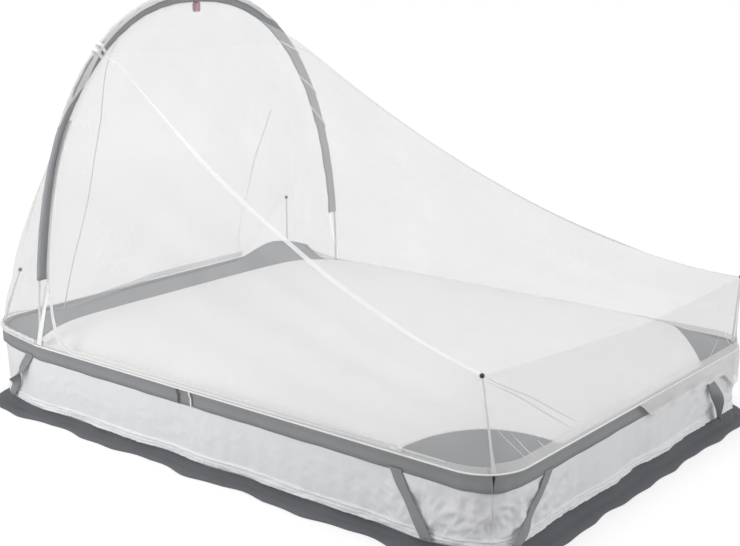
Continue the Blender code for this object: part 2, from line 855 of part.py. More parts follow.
def add_foot_wall(foot):
    """The upright net between the foot rail and the line from post to post."""
    start, end = CORNERS["near_foot"], CORNERS["far_foot"]
    margin = 2 * seam_gap / (end - start)

    def place(u, v):
        u = margin + (1 - 2 * margin) * u
        across = 2 * u - 1
        low = rail_spot(start + (end - start) * u, rim_outward, rim_up)
        high = foot.end_top(across)
        high.z -= seam_gap
        spot = low.lerp(high, v)
        belly = 4 * v * (1 - v)
        fold = math.sin(wall_crease_count * math.pi * abs(across)) * belly
        spot.x -= crease_depth * 4 * abs(across) ** 3 * (1 - abs(across)) * (1 - fold) * belly
        return spot
    sheet("foot_wall_net", "white_net", place, wall_columns, wall_rows, net_thickness)


def tape_strip(end, path, lift, width):
    """A strip that follows a path of (u, share) pairs just outside the net."""
    def place(u, v):
        index = round(u * (len(path) - 1))
        here = end.point(*path[index])
        before = end.point(*path[max(index - 1, 0)])
        after = end.point(*path[min(index + 1, len(path) - 1)])
        normal = end.normal(*path[index])
        side = normal.cross(after - before).normalized()
        return here + normal * lift + side * (v - 0.5) * width
    return place


def add_ridge_tapes(foot):
    lift = net_thickness / 2 + fit_gap + tape_thickness / 2 + seam_gap
    shares = (("near_ridge_tape", shoulder_share()), ("far_ridge_tape", 1 - shoulder_share()))
    for name, share in shares:
        path = [(net_u(step / net_columns), share) for step in range(net_columns + 1)]
        sheet(name, "white_tape", tape_strip(foot, path, lift, tape_width), net_columns, 1, tape_thickness)


# Door zip

def door_share(foot, u, height):
    """The share of the near side net at a height above the rim."""
    low, high = 0.0, shoulder_share()
    rim = foot.point(u, 0.0).z
    for _ in range(32):
        middle = (low + high) / 2
        if foot.point(u, middle).z - rim < height:
            low = middle
        else:
            high = middle
    return low


def zip_path(foot):
    """The L-shaped line of the door zip, from the foot end along the rail and up the arch."""
    leg_x = foot.start_x + zip_inset
    corner_x = leg_x + zip_corner_radius
    top = zip_top - rod_z(arch_x) - rim_up
    line = []
    for step in range(zip_straight_steps + 1):
        line.append((zip_foot_x + (corner_x - zip_foot_x) * step / zip_straight_steps, zip_inset))
    for step in range(1, zip_turn_steps + 1):
        turn = math.pi / 2 * step / zip_turn_steps
        line.append((corner_x - zip_corner_radius * math.sin(turn),
                     zip_inset + zip_corner_radius * (1 - math.cos(turn))))
    path = []
    for x, height in line:
        u = (x - foot.start_x) / (foot.rim_corner.x - foot.start_x)
        path.append((u, door_share(foot, u, height)))
    last = door_share(foot, u, top)
    rows = [row / side_rows * (shoulder_share() - seam_share) for row in range(side_rows)]
    return path + [(u, share) for share in rows if path[-1][1] < share < last] + [(u, last)]


def add_zip_tape(foot):
    path = zip_path(foot)
    lift = net_thickness / 2 + fit_gap + zip_thickness / 2
    sheet("door_zip_tape", "white_tape", tape_strip(foot, path, lift, zip_width), len(path) - 1, 1,
          zip_thickness)


def add_zip_slider():
    """The slider on the zip's straight run, and the pull that hangs in its bridge."""
    zip_face = half_width + rim_outward + net_thickness / 2 + fit_gap + zip_thickness
    centre = Vector((slider_x, -zip_face - fit_gap - slider_thickness / 2,
                     rod_z(slider_x) + rim_up + zip_inset))
    size = (slider_length, slider_thickness, slider_height)
    body = add_part("zip_slider", box_mesh("zip_slider", size, Matrix.Translation(centre), slider_bevel),
                    "white_plastic")
    face = centre.y - slider_thickness / 2
    half = bridge_span / 2
    corner = bridge_rise / 4
    outline = [(-half, -corner), (-half, bridge_rise - corner), (corner - half, bridge_rise),
               (half - corner, bridge_rise), (half, bridge_rise - corner), (half, -corner)]
    points = [Vector((centre.x + x, face - out, centre.z)) for x, out in outline]
    boolean(body, add_cutter("zip_bridge", tube_mesh("zip_bridge", points, bridge_wire, 1)), "UNION")

    axis = Vector((centre.x, face - pull_lift, centre.z))
    middle = Matrix.Translation((pull_bar / 2 - pull_length / 2, 0.0, 0.0))
    plate = box_mesh("zip_pull", (pull_length, pull_thickness, pull_height), middle)
    pull = add_part("zip_pull", plate, "white_plastic")
    pull.location = axis
    opening = (pull_window, 2 * pull_thickness, pull_height - 2 * pull_rail)
    middle = Matrix.Translation(axis - Vector((pull_bar / 2 + pull_window / 2, 0.0, 0.0)))
    boolean(pull, add_cutter("zip_pull_window", box_mesh("zip_pull_window", opening, middle)), "DIFFERENCE")
    return axis


# Base sheet

def sheet_point(s, t):
    """A point of the crowned sheet; s and t run from -1 to 1 along and across."""
    inset = rail_sleeve_half + sheet_gap
    length, width, radius = half_length - inset, half_width - inset, corner_radius - inset
    y = width * math.sin(t * math.pi / 2)
    past = max(abs(y) - (width - radius), 0.0)
    reach = length - radius + math.sqrt(max(radius * radius - past * past, 0.0))
    x = reach * math.sin(s * math.pi / 2)
    crown_start = strip_middle - half_length
    along = max(1 - abs((2 * x - crown_start - length) / (length - crown_start)) ** crown_power, 0.0)
    across = max(1 - (abs(y) / width) ** crown_power, 0.0)
    edge = rod_z(x) + rail_sleeve_half - sheet_edge_drop
    return Vector((x, y, edge + sheet_crown * along * across))


def gusset_outline(hand, shrink):
    """A triangle over a foot corner; shrink moves its long side towards the corner."""
    leg = gusset_leg - shrink / corner_diagonal
    far = 2 * gusset_leg
    x, y = half_length, hand * half_width
    return [(x - leg - far, y + hand * far), (x + far, y - hand * (leg + far)), (x + far, y + hand * far)]


def strip_outline(hand, shrink):
    """The head strip's area: its inner edge bows towards the head in the middle."""
    far = 2 * strip_side
    outline = []
    for step in range(strip_steps + 1):
        across = 2 * step / strip_steps - 1
        depth = strip_middle + (strip_side - strip_middle) * across * across - shrink
        outline.append((depth - half_length, across * half_width * hand))
    return outline + [(-half_length - far, half_width * hand), (-half_length - far, -half_width * hand)]


def crowned_sheet(name, material):
    return sheet(name, material, lambda u, v: sheet_point(2 * u - 1, 2 * v - 1), sheet_columns, sheet_rows,
                 sheet_thickness)


def add_base_sheet():
    low = rod_height - rail_sleeve_width
    high = rod_height + head_lift + 2 * sheet_crown
    outlines = {
        "near_foot_gusset": (gusset_outline, -1),
        "far_foot_gusset": (gusset_outline, 1),
        "head_strip": (strip_outline, 1),
    }
    base = crowned_sheet("base_sheet", "white_cloth")
    for name, (outline, hand) in outlines.items():
        hole = prism_mesh(name + "_hole", outline(hand, 0.0), low, high)
        boolean(base, add_cutter(name + "_hole", hole), "DIFFERENCE")
        area = prism_mesh(name + "_area", outline(hand, seam_gap), low, high)
        boolean(crowned_sheet(name, "grey_band"), add_cutter(name + "_area", area), "INTERSECT")


# Skirts, hems and straps

def skirt_spot(distance, drop, outward=0.0):
    """A point of the skirt; drop runs from 0 at the sleeve to 1 at the hem."""
    turn = 2 * math.pi * distance / perimeter
    ripple = math.cos(ripple_counts[0] * turn) + ripple_second_share * math.cos(ripple_counts[1] * turn)
    top = rail_spot(distance, up=-band_bottom - fit_gap)
    spot = top + rail_place(distance)[1] * (outward + (skirt_ripple * ripple - skirt_lean) * drop)
    spot.z = top.z + (skirt_bottom - top.z) * drop
    return spot


def hem_spot(distance, row):
    """A point of the dark hem, from the skirt's lower edge out along the floor."""
    wave = hem_wave * math.cos(2 * math.pi * hem_wave_count * distance / perimeter)
    out = hem_out_shares[row] * (hem_width + wave)
    spot = skirt_spot(distance, 1.0) + rail_place(distance)[1] * out
    flat = hem_thickness / 2
    spot.z = flat + (skirt_bottom - 2 * seam_gap - flat) * hem_up_shares[row]
    return spot


def cloth_stations(start, end):
    return rail_stations(start + seam_gap / 2, end - seam_gap / 2, cloth_step)


def add_skirt_and_hem(side, start, end):
    stations = cloth_stations(start, end)
    last = len(stations) - 1
    rows = len(hem_out_shares) - 1

    def skirt(u, v):
        return skirt_spot(stations[round(u * last)], v)

    def hem(u, v):
        return hem_spot(stations[round(u * last)], round(v * rows))
    sheet(side + "_skirt", "white_cloth", skirt, last, skirt_row_count, skirt_thickness)
    sheet(side + "_hem", "dark_hem", hem, last, rows, hem_thickness)


def add_strap(name, stations, middle, top, bottom):
    """A strap sewn over the sleeve's lower edge that slants down over the skirt to the hem.

    top and bottom are its distances from a corner's middle.
    """
    at_sleeve = fabric_thickness + (ply_gap + strap_thickness) / 2 + fit_gap
    at_skirt = (skirt_thickness + strap_thickness) / 2 + strap_gap
    height = rod_height - band_bottom - skirt_bottom

    def place(u, v):
        row = round(v * strap_rows)
        drop = max(row - 1, 0) / (strap_rows - 1) * (1 - strap_end_gap / height)
        clear = at_skirt if drop else at_sleeve
        distance = middle + top + (bottom - top) * drop + strap_width * (u - 0.5)
        first, second, part = between(stations, distance)
        spot = skirt_spot(first, drop, clear).lerp(skirt_spot(second, drop, clear), part)
        spot.z += strap_lap * (row == 0)
        return spot
    sheet(name, "grey_band", place, 2, strap_rows, strap_thickness)


def add_cloth():
    sides = {
        "near": (CORNERS["near_head"] - perimeter, CORNERS["near_foot"]),
        "foot": (CORNERS["near_foot"], CORNERS["far_foot"]),
        "far": (CORNERS["far_foot"], CORNERS["far_head"]),
        "head": (CORNERS["far_head"], CORNERS["near_head"]),
    }
    for side, (start, end) in sides.items():
        add_skirt_and_hem(side, start, end)
        stations = cloth_stations(start, end)
        reaches = {"foot": (foot_strap_top, foot_strap_bottom), "head": (head_strap_top, head_strap_bottom)}
        for middle, hand in ((start, 1), (end, -1)):
            corner = min(CORNERS, key=lambda name: abs(CORNERS[name] - middle % perimeter))
            top, bottom = reaches["foot" if corner.endswith("foot") else "head"]
            name = f"{corner}_strap_{'side' if side in ('near', 'far') else 'end'}"
            add_strap(name, stations, middle, hand * top, hand * bottom)


def main():
    add_rods()
    add_sockets()
    add_posts()
    add_sleeves()
    add_piping()
    add_arch()
    add_shoulder_ties()
    add_arch_cups()
    loop_axis = add_lantern_loop()
    foot = NetEnd(1, near_sag_power, far_sag_power, 1)
    head = NetEnd(-1, head_sag_power, head_sag_power, head_flare_power)
    add_net_panels(foot, head)
    add_foot_wall(foot)
    add_ridge_tapes(foot)
    add_zip_tape(foot)
    pull_axis = add_zip_slider()
    add_base_sheet()
    add_cloth()
    for title, spot in (("arch hinge", pole_spot(0.0)), ("lantern loop", loop_axis), ("zip pull", pull_axis)):
        print(title, tuple(round(value, 5) for value in spot))
    print("nodes", len(PARTS.objects))


clear_scene()
PARTS = make_collection("mosquito_net_tent")
CUTTERS = make_collection("cutters")
MATERIALS = make_materials()
main()
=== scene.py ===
# %% [markdown]
# A mosquito net tent for a double bed, dressed for its picture.
#
# The solid model holds every rod, socket, sleeve and panel in its true place. This file loads it as
# a fixed frame and builds what a camera sees of it: see-through net, woven bands, a white sheet and
# a skirt with a dark hem. Everything is in metres. +X points to the foot end, -Y to the near side
# with the door, and +Z up.

# %% Load the frame
import math

import bmesh
import bpy
from mathutils import Matrix, Vector, noise
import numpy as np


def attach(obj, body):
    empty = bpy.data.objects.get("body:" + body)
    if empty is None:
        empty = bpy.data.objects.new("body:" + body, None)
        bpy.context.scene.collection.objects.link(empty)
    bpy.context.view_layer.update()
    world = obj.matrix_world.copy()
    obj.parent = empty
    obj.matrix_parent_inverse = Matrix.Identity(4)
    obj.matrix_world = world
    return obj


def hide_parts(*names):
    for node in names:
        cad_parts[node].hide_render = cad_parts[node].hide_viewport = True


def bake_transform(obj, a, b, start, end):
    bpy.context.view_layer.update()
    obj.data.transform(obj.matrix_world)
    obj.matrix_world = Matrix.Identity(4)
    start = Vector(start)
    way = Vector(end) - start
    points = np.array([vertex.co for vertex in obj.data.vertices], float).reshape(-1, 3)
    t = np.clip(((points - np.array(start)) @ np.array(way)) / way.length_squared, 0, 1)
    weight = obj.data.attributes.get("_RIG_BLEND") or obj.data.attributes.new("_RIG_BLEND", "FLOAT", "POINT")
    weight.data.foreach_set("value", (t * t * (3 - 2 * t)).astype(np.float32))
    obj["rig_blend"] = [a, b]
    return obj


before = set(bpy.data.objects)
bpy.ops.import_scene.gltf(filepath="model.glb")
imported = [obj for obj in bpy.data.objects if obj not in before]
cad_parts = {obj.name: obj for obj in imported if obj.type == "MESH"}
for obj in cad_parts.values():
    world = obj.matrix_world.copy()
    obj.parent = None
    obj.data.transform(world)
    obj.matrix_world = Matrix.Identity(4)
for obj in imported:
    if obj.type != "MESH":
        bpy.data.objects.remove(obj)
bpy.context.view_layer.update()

# %% [markdown]
# The camera comes first, because it decides how each piece is judged. Its place, turn and lens were
# fitted to the base frame, the hem and the arch as the photograph shows them, so that a point of the
# model falls on its own pixel. The picture is taken from the near foot corner, slightly from above.

# %% Camera
camera_spot = Vector((2.574, -3.160, 1.463))
camera_turn = 2.2491
camera_tilt = 0.2444
camera_lens_mm = 63.41

camera = bpy.data.objects.new("camera", bpy.data.cameras.new("camera"))
camera.data.lens = camera_lens_mm
camera.data.sensor_width = 36.0
aim = Vector((math.cos(camera_turn) * math.cos(camera_tilt), math.sin(camera_turn) * math.cos(camera_tilt),
              -math.sin(camera_tilt)))
camera.location = camera_spot
camera.rotation_euler = aim.to_track_quat("-Z", "Y").to_euler()
bpy.context.scene.collection.objects.link(camera)
bpy.context.scene.camera = camera
print("camera looks along", tuple(round(value, 3) for value in aim))

# %% [markdown]
# The tent stands on a white floor in an even, soft light. The floor is a plain white surface that
# takes the tent's shadow. To the camera alone it also glows, a little more far away, where the lamps
# don't reach, so that it reads as white without more light falling on the tent. The sky is white to
# the camera and softer to the tent.

# %% Floor and light
floor_half = 12.0
floor_drop = 0.0005
floor_glow = 0.50
floor_far_glow = 0.24
glow_start = 1.0
glow_end = 6.0
sky_strength = 0.52


def add_object(name, data):
    item = bpy.data.objects.new(name, data)
    bpy.context.scene.collection.objects.link(item)
    return item


def set_inputs(node, **values):
    """Sets sockets by name, with _ for a space, so From_Min means From Min."""
    for socket, value in values.items():
        node.inputs[socket.replace("_", " ")].default_value = value


def math_node(tree, operation, *values):
    """A Math node; each value is a number or the output of another node."""
    node = tree.nodes.new("ShaderNodeMath")
    node.operation = operation
    for socket, value in zip(node.inputs, values):
        if isinstance(value, (int, float)):
            socket.default_value = value
        else:
            tree.links.new(value, socket)
    return node.outputs[0]


def new_material(name, roughness, specular=0.25):
    material = bpy.data.materials.new(name)
    material.use_nodes = True
    shader = material.node_tree.nodes["Principled BSDF"]
    set_inputs(shader, Roughness=roughness, Specular_IOR_Level=specular)
    return material, material.node_tree, shader


def camera_ray(tree):
    """1 for what the camera sees, also in a mirror or through glass, and 0 for light on its way."""
    path = tree.nodes.new("ShaderNodeLightPath").outputs
    seen = math_node(tree, "MAXIMUM", path["Is Camera Ray"], path["Is Glossy Ray"])
    return math_node(tree, "MAXIMUM", seen, path["Is Transmission Ray"])


def make_floor():
    builder = bmesh.new()
    bmesh.ops.create_grid(builder, x_segments=1, y_segments=1, size=floor_half,
                          matrix=Matrix.Translation((0.0, 0.0, -floor_drop)))
    floor = add_object("floor", bpy.data.meshes.new("floor"))
    builder.to_mesh(floor.data)
    builder.free()
    material, tree, shader = new_material("white_floor", 0.9, 0.0)
    set_inputs(shader, Base_Color=(0.52, 0.52, 0.52, 1.0), Emission_Color=(1.0, 1.0, 1.0, 1.0))
    length = tree.nodes.new("ShaderNodeVectorMath")
    length.operation = "LENGTH"
    tree.links.new(tree.nodes.new("ShaderNodeTexCoord").outputs["Object"], length.inputs[0])
    spread = tree.nodes.new("ShaderNodeMapRange")
    set_inputs(spread, From_Min=glow_start, From_Max=glow_end,
               To_Min=floor_glow, To_Max=floor_glow + floor_far_glow)
    tree.links.new(length.outputs["Value"], spread.inputs["Value"])
    tree.links.new(math_node(tree, "MULTIPLY", camera_ray(tree), spread.outputs["Result"]),
                   shader.inputs["Emission Strength"])
    floor.data.materials.append(material)


def make_sky():
    world = bpy.data.worlds.new("soft_sky")
    world.use_nodes = True
    tree = world.node_tree
    sky = tree.nodes["Background"]
    set_inputs(sky, Color=(1.0, 1.0, 1.0, 1.0))
    mix = tree.nodes.new("ShaderNodeMix")
    set_inputs(mix, A=sky_strength, B=1.0)
    tree.links.new(camera_ray(tree), mix.inputs["Factor"])
    tree.links.new(mix.outputs["Result"], sky.inputs["Strength"])
    bpy.context.scene.world = world


def add_lamp(name, spot, target, size, power):
    lamp = bpy.data.lights.new(name, "AREA")
    lamp.size = size
    lamp.energy = power
    item = add_object(name, lamp)
    item.location = spot
    item.rotation_euler = (Vector(target) - Vector(spot)).to_track_quat("-Z", "Y").to_euler()


make_floor()
make_sky()
add_lamp("key_lamp", (-0.9, -2.8, 1.1), (-0.6, -0.3, 0.2), 1.6, 27.0)
add_lamp("top_lamp", (-0.2, -0.2, 4.2), (0.0, 0.0, 0.3), 3.6, 88.0)
add_lamp("foot_lamp", (4.6, 1.2, 2.0), (1.0, 0.1, 0.2), 2.5, 56.0)
bpy.context.scene.view_settings.view_transform = "Standard"
print("floor glow", floor_glow, "sky", sky_strength)

# %% [markdown]
# The cloth follows the same rods as the solids do, so the sizes of the frame come next. The base
# frame is a long loop with round corners, which rises a little from the arch to the head end. A
# place on it is a distance along the loop, anticlockwise from the middle of the near side.

# %% Sizes of the base frame
half_length = 1.0
half_width = 0.725
corner_radius = 0.12
rod_height = 0.2295
head_lift = 0.03
sleeve_half = 0.0065
sleeve_width = 0.0525
band_bottom = sleeve_width - sleeve_half
rim_outward = 0.0099
rim_up = 0.0068
rod_joint_x = -0.05
arch_x = -0.733
lift_x = -0.7415
long_straight = half_length - corner_radius
short_straight = half_width - corner_radius
corner_length = math.pi * corner_radius / 2
perimeter = 4 * (long_straight + short_straight + corner_length)
far_middle = perimeter / 2
CORNERS = {
    "near_foot": long_straight + corner_length / 2,
    "far_foot": long_straight + 1.5 * corner_length + 2 * short_straight,
    "far_head": 3 * long_straight + 2.5 * corner_length + 2 * short_straight,
    "near_head": 3 * long_straight + 3.5 * corner_length + 4 * short_straight,
}


def rod_z(x):
    """The height of the rods: level from the foot to the arch, then rising to the head."""
    return rod_height + head_lift * max(lift_x - x, 0.0) / (lift_x + half_length)


def rail_place(distance):
    """The point of the rods' centre line at a distance along it, and the direction outward."""
    distance = distance % perimeter
    spans = (
        (long_straight, (0.0, -half_width), 0),
        (corner_length, (long_straight, -short_straight), -90),
        (2 * short_straight, (half_length, -short_straight), 90),
        (corner_length, (long_straight, short_straight), 0),
        (2 * long_straight, (long_straight, half_width), 180),
        (corner_length, (-long_straight, short_straight), 90),
        (2 * short_straight, (-half_length, short_straight), 270),
        (corner_length, (-long_straight, -short_straight), 180),
        (long_straight, (-long_straight, -half_width), 0),
    )
    for index, (length, start, degrees) in enumerate(spans):
        if distance <= length or index == len(spans) - 1:
            break
        distance -= length
    angle = math.radians(degrees)
    if index % 2:
        angle += distance / corner_radius
        outward = Vector((math.cos(angle), math.sin(angle), 0.0))
        return Vector((*start, 0.0)) + outward * corner_radius, outward
    along = Vector((math.cos(angle), math.sin(angle), 0.0))
    return Vector((*start, 0.0)) + along * distance, Vector((along.y, -along.x, 0.0))


def rail_spot(distance, outward=0.0, up=0.0):
    """A point beside the rods, with its height measured from the rods where they stand."""
    spot, direction = rail_place(distance)
    height = rod_z(spot.x) + up
    spot += direction * outward
    return Vector((spot.x, spot.y, height))


print("way round the base frame", round(perimeter, 3), "m")

# %% [markdown]
# The arch is a rounded hoop in one plane across the tent. Its pole is faceted in the solids, and the
# cloth follows the same facets, so that it stays close to the pole all the way over.

# %% Sizes of the arch
arch_rise = 1.08
arch_fullness = 2.28
arch_foot_up = 0.0091
arch_steps = 32
arch_sleeve_half = 0.0075
arch_sleeve_depth = 0.0325
arch_bare_leg = 0.21


def arch_curve(share, half_span, rise, foot_up):
    """A point of the hoop, from the near foot at 0 over the top to the far foot at 1."""
    turn = math.pi * min(max(share, 0.0), 1.0)
    power = 2 / arch_fullness
    across = math.copysign(abs(math.cos(turn)) ** power, -math.cos(turn))
    height = rod_z(arch_x) + foot_up + rise * max(math.sin(turn), 0.0) ** power
    return Vector((arch_x, half_span * across, height))


def pole_spot(share):
    """A point of the pole's centre line."""
    index = min(max(math.floor(share * arch_steps), 0), arch_steps - 1)
    first = arch_curve(index / arch_steps, half_width, arch_rise, arch_foot_up)
    second = arch_curve((index + 1) / arch_steps, half_width, arch_rise, arch_foot_up)
    return first.lerp(second, min(max(share * arch_steps - index, 0.0), 1.0))


def pole_inward(share):
    """The direction from the pole into the arch."""
    step = 1 / (4 * arch_steps)
    along = (pole_spot(share + step) - pole_spot(share - step)).normalized()
    return Vector((0.0, along.z, -along.y))


def share_at_rise(height):
    """How far along the arch the pole has climbed to a height above its foot."""
    return math.asin((height / arch_rise) ** (arch_fullness / 2)) / math.pi


sleeve_end_share = share_at_rise(arch_bare_leg)
print("the arch sleeve starts at share", round(sleeve_end_share, 3))

# %% [markdown]
# Cloth is a grid whose points are moved into place by a rule. Each cloth gets a UV map measured in
# metres along its own threads, so that a weave keeps its size however the cloth bends. Thin cloth
# gets its thickness from Solidify. A net stays a single surface, since its holes do the work.

# %% Tools for cloth
def running_lengths(place, steps, upward):
    """How far each grid line lies along the cloth, in metres, averaged over three places."""
    totals = [0.0]
    for step in range(steps):
        spans = []
        for other in (0.1, 0.5, 0.9):
            ends = [(step / steps, other), ((step + 1) / steps, other)]
            first, second = [place(*((v, u) if upward else (u, v))) for u, v in ends]
            spans.append((second - first).length)
        totals.append(totals[-1] + sum(spans) / len(spans))
    return totals


def cloth_grid(builder, place, columns, rows):
    """Adds a grid of cloth to a bmesh: place turns (u, v), each from 0 to 1, into its point."""
    grid = bmesh.ops.create_grid(builder, x_segments=columns, y_segments=rows, size=0.5)
    layer = builder.loops.layers.uv.get("cloth") or builder.loops.layers.uv.new("cloth")
    along = running_lengths(place, columns, False)
    up = running_lengths(place, rows, True)
    for vert in grid["verts"]:
        u, v = vert.co.x + 0.5, vert.co.y + 0.5
        measured = (along[round(u * columns)], up[round(v * rows)])
        for loop in vert.link_loops:
            loop[layer].uv = measured
        vert.co = place(u, v)


def finish_mesh(name, builder, material, weld=0.00005):
    """Makes the piece's object at the origin, smooth, with its faces turned outwards."""
    if weld:
        bmesh.ops.remove_doubles(builder, verts=builder.verts, dist=weld)
    bmesh.ops.recalc_face_normals(builder, faces=builder.faces)
    item = add_object(name, bpy.data.meshes.new(name))
    builder.to_mesh(item.data)
    builder.free()
    item.data.shade_smooth()
    item.data.materials.append(material)
    return item


def thicken(item, thickness, offset=0.0):
    wall = item.modifiers.new("wall", "SOLIDIFY")
    wall.thickness = thickness
    wall.offset = offset
    wall.use_even_offset = True
    return item


def cloth(name, place, columns, rows, material, thickness=0.0):
    builder = bmesh.new()
    cloth_grid(builder, place, columns, rows)
    item = finish_mesh(name, builder, material)
    return thicken(item, thickness) if thickness else item


def flat_area(item):
    """The cloth's own area in square metres, before it gets its thickness."""
    return sum(face.area for face in item.data.polygons)


def dress(item, slot, *nodes, body="base", **declared):
    """Hangs the piece on the body that carries it and hides its solids; its material slot and how its cloth lies are
    not used.
    """
    if body:
        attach(item, body)
    if nodes:
        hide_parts(*nodes)


def smooth(value):
    value = min(max(value, 0.0), 1.0)
    return value * value * (3 - 2 * value)


print("cloth tools are ready")

# %% [markdown]
# A woven cloth shows two sets of threads that cross, a slow change of tone where it is stretched or
# creased, and a matt face with a little sheen along its edges. Two wave textures on the cloth's own
# UV map draw the threads, and a noise changes the tone. The same recipe serves every woven piece
# with another pair of colours and another thread pitch.

# %% Materials: threads and woven cloth
def thread_lines(tree, pitch):
    """Two crossing sets of lines, from 0 between the threads to 1 on them."""
    uv = tree.nodes.new("ShaderNodeUVMap")
    uv.uv_map = "cloth"
    lines = []
    for direction in ("X", "Y"):
        wave = tree.nodes.new("ShaderNodeTexWave")
        wave.bands_direction = direction
        set_inputs(wave, Scale=2 * math.pi / (20 * pitch))
        tree.links.new(uv.outputs["UV"], wave.inputs["Vector"])
        lines.append(wave.outputs["Fac"])
    return uv.outputs["UV"], lines


def tone_noise(tree, vector, scale, detail=3.0):
    tone = tree.nodes.new("ShaderNodeTexNoise")
    set_inputs(tone, Scale=scale, Detail=detail)
    tree.links.new(vector, tone.inputs["Vector"])
    return tone.outputs["Fac"]


def mixed_tone(tree, *parts):
    """The sum of (pattern, weight) pairs."""
    total, *others = [math_node(tree, "MULTIPLY", pattern, weight) for pattern, weight in parts]
    for other in others:
        total = math_node(tree, "ADD", total, other)
    return total


def two_colours(tree, factor, dark, light):
    mix = tree.nodes.new("ShaderNodeMix")
    mix.data_type = "RGBA"
    set_inputs(mix, A=(*dark, 1.0), B=(*light, 1.0))
    tree.links.new(factor, mix.inputs["Factor"])
    return mix.outputs["Result"]


def bump_from(tree, shader, height, distance, strength):
    bump = tree.nodes.new("ShaderNodeBump")
    set_inputs(bump, Distance=distance, Strength=strength)
    tree.links.new(height, bump.inputs["Height"])
    tree.links.new(bump.outputs["Normal"], shader.inputs["Normal"])


def woven(name, dark, light, pitch, roughness=0.85, patch_scale=6.0, bump=0.5):
    """A plain weave in metres on the cloth's UV map, with a slow change of tone."""
    material, tree, shader = new_material(name, roughness)
    set_inputs(shader, Sheen_Weight=0.08)
    vector, (warp, weft) = thread_lines(tree, pitch)
    weave = math_node(tree, "MAXIMUM", warp, weft)
    patch = tone_noise(tree, vector, patch_scale)
    fine = tone_noise(tree, vector, patch_scale * 12)
    tone = mixed_tone(tree, (weave, 0.3), (patch, 0.5), (fine, 0.2))
    tree.links.new(two_colours(tree, tone, dark, light), shader.inputs["Base Color"])
    bump_from(tree, shader, weave, pitch / 4, bump)
    return material


band_grey = woven("grey_band_cloth", (0.235, 0.240, 0.249), (0.342, 0.350, 0.364), 0.0009)
# The arch band is the bands' own grey cloth; this copy is painted lighter, painted light that lifts the arch band out
# of its shade.
arch_grey_painted_lighter = woven("grey_arch_cloth_painted_lighter", (0.270, 0.275, 0.286), (0.390, 0.399, 0.415), 0.0009)
hem_grey = woven("dark_hem_cloth", (0.095, 0.100, 0.109), (0.155, 0.163, 0.174), 0.0011, 0.9)
sheet_white = woven("white_sheet_cloth", (0.84, 0.84, 0.835), (0.92, 0.92, 0.915), 0.0010, 0.85, 2.5, 0.3)
skirt_white = woven("white_skirt_cloth", (0.76, 0.765, 0.785), (0.85, 0.855, 0.87), 0.0008, 0.8, 5.0, 0.3)
tape_white = woven("white_tape_weave", (0.82, 0.82, 0.82), (0.92, 0.92, 0.91), 0.0012, 0.75, 20.0)
tape_red = woven("red_tape_weave", (0.34, 0.075, 0.13), (0.55, 0.16, 0.24), 0.0012, 0.75, 20.0)
print("woven materials", [item.name for item in bpy.data.materials])

# %% [markdown]
# The net is a fine white mesh. Seen from across a room its holes can't be told apart, and it works
# as a veil: most light passes, and the threads lay a thin white over what is behind. Real holes
# would need millions of faces, so the threads are drawn in the material's alpha on the UV map, at
# their true pitch. The veil's mean density was matched to the photograph, where one layer of net
# lifts the grey bands behind it by about a tenth.

# %% Materials: net
def veil(name, colour, pitch, between, threads):
    """See-through mesh: alpha is low between the threads and higher along them."""
    material, tree, shader = new_material(name, 0.9, 0.0)
    vector, (warp, weft) = thread_lines(tree, pitch)
    lines = math_node(tree, "POWER", math_node(tree, "MAXIMUM", warp, weft), 4.0)
    # The alpha also changes in broad patches: partly the net's uneven weave, partly painted shade standing in for
    # soft folds.
    patch = math_node(tree, "MULTIPLY_ADD", tone_noise(tree, vector, 3.0), 0.8, 0.6)
    cover = math_node(tree, "MULTIPLY_ADD", lines, threads, between)
    tree.links.new(math_node(tree, "MULTIPLY", cover, patch), shader.inputs["Alpha"])
    tone = tone_noise(tree, vector, 40.0)
    tree.links.new(two_colours(tree, tone, [value * 0.96 for value in colour], colour),
                   shader.inputs["Base Color"])
    return material


net_white = veil("white_net_mesh", (0.70, 0.70, 0.71), 0.0014, 0.135, 0.29)
net_double = veil("white_net_doubled", (0.88, 0.88, 0.885), 0.0010, 0.40, 0.26)
net_seam = veil("white_net_seam", (0.86, 0.86, 0.865), 0.0010, 0.66, 0.24)
print("net materials are ready")

# %% [markdown]
# The rods are glass fibre, drawn lengthwise, so they have a faint grain and a soft shine. Sockets,
# cups and the posts' ball tips are moulded black plastic with a fine texture. The zip's slider and
# pull are white moulded plastic. Their solids already have the right shape, so they only get these
# finishes, on Object coordinates, because a solid from CAD has no UV map.

# %% Materials: rods and moulded pieces
def moulded(name, dark, light, roughness, grain, depth):
    """A hard surface with a fine grain, on Object coordinates."""
    material, tree, shader = new_material(name, roughness, 0.4)
    place = tree.nodes.new("ShaderNodeTexCoord").outputs["Object"]
    fine = tone_noise(tree, place, grain, 5.0)
    patch = tone_noise(tree, place, grain / 20)
    tone = mixed_tone(tree, (fine, 0.6), (patch, 0.4))
    tree.links.new(two_colours(tree, tone, dark, light), shader.inputs["Base Color"])
    tree.links.new(math_node(tree, "MULTIPLY_ADD", fine, 0.15, roughness - 0.07), shader.inputs["Roughness"])
    bump_from(tree, shader, fine, depth, 0.4)
    return material


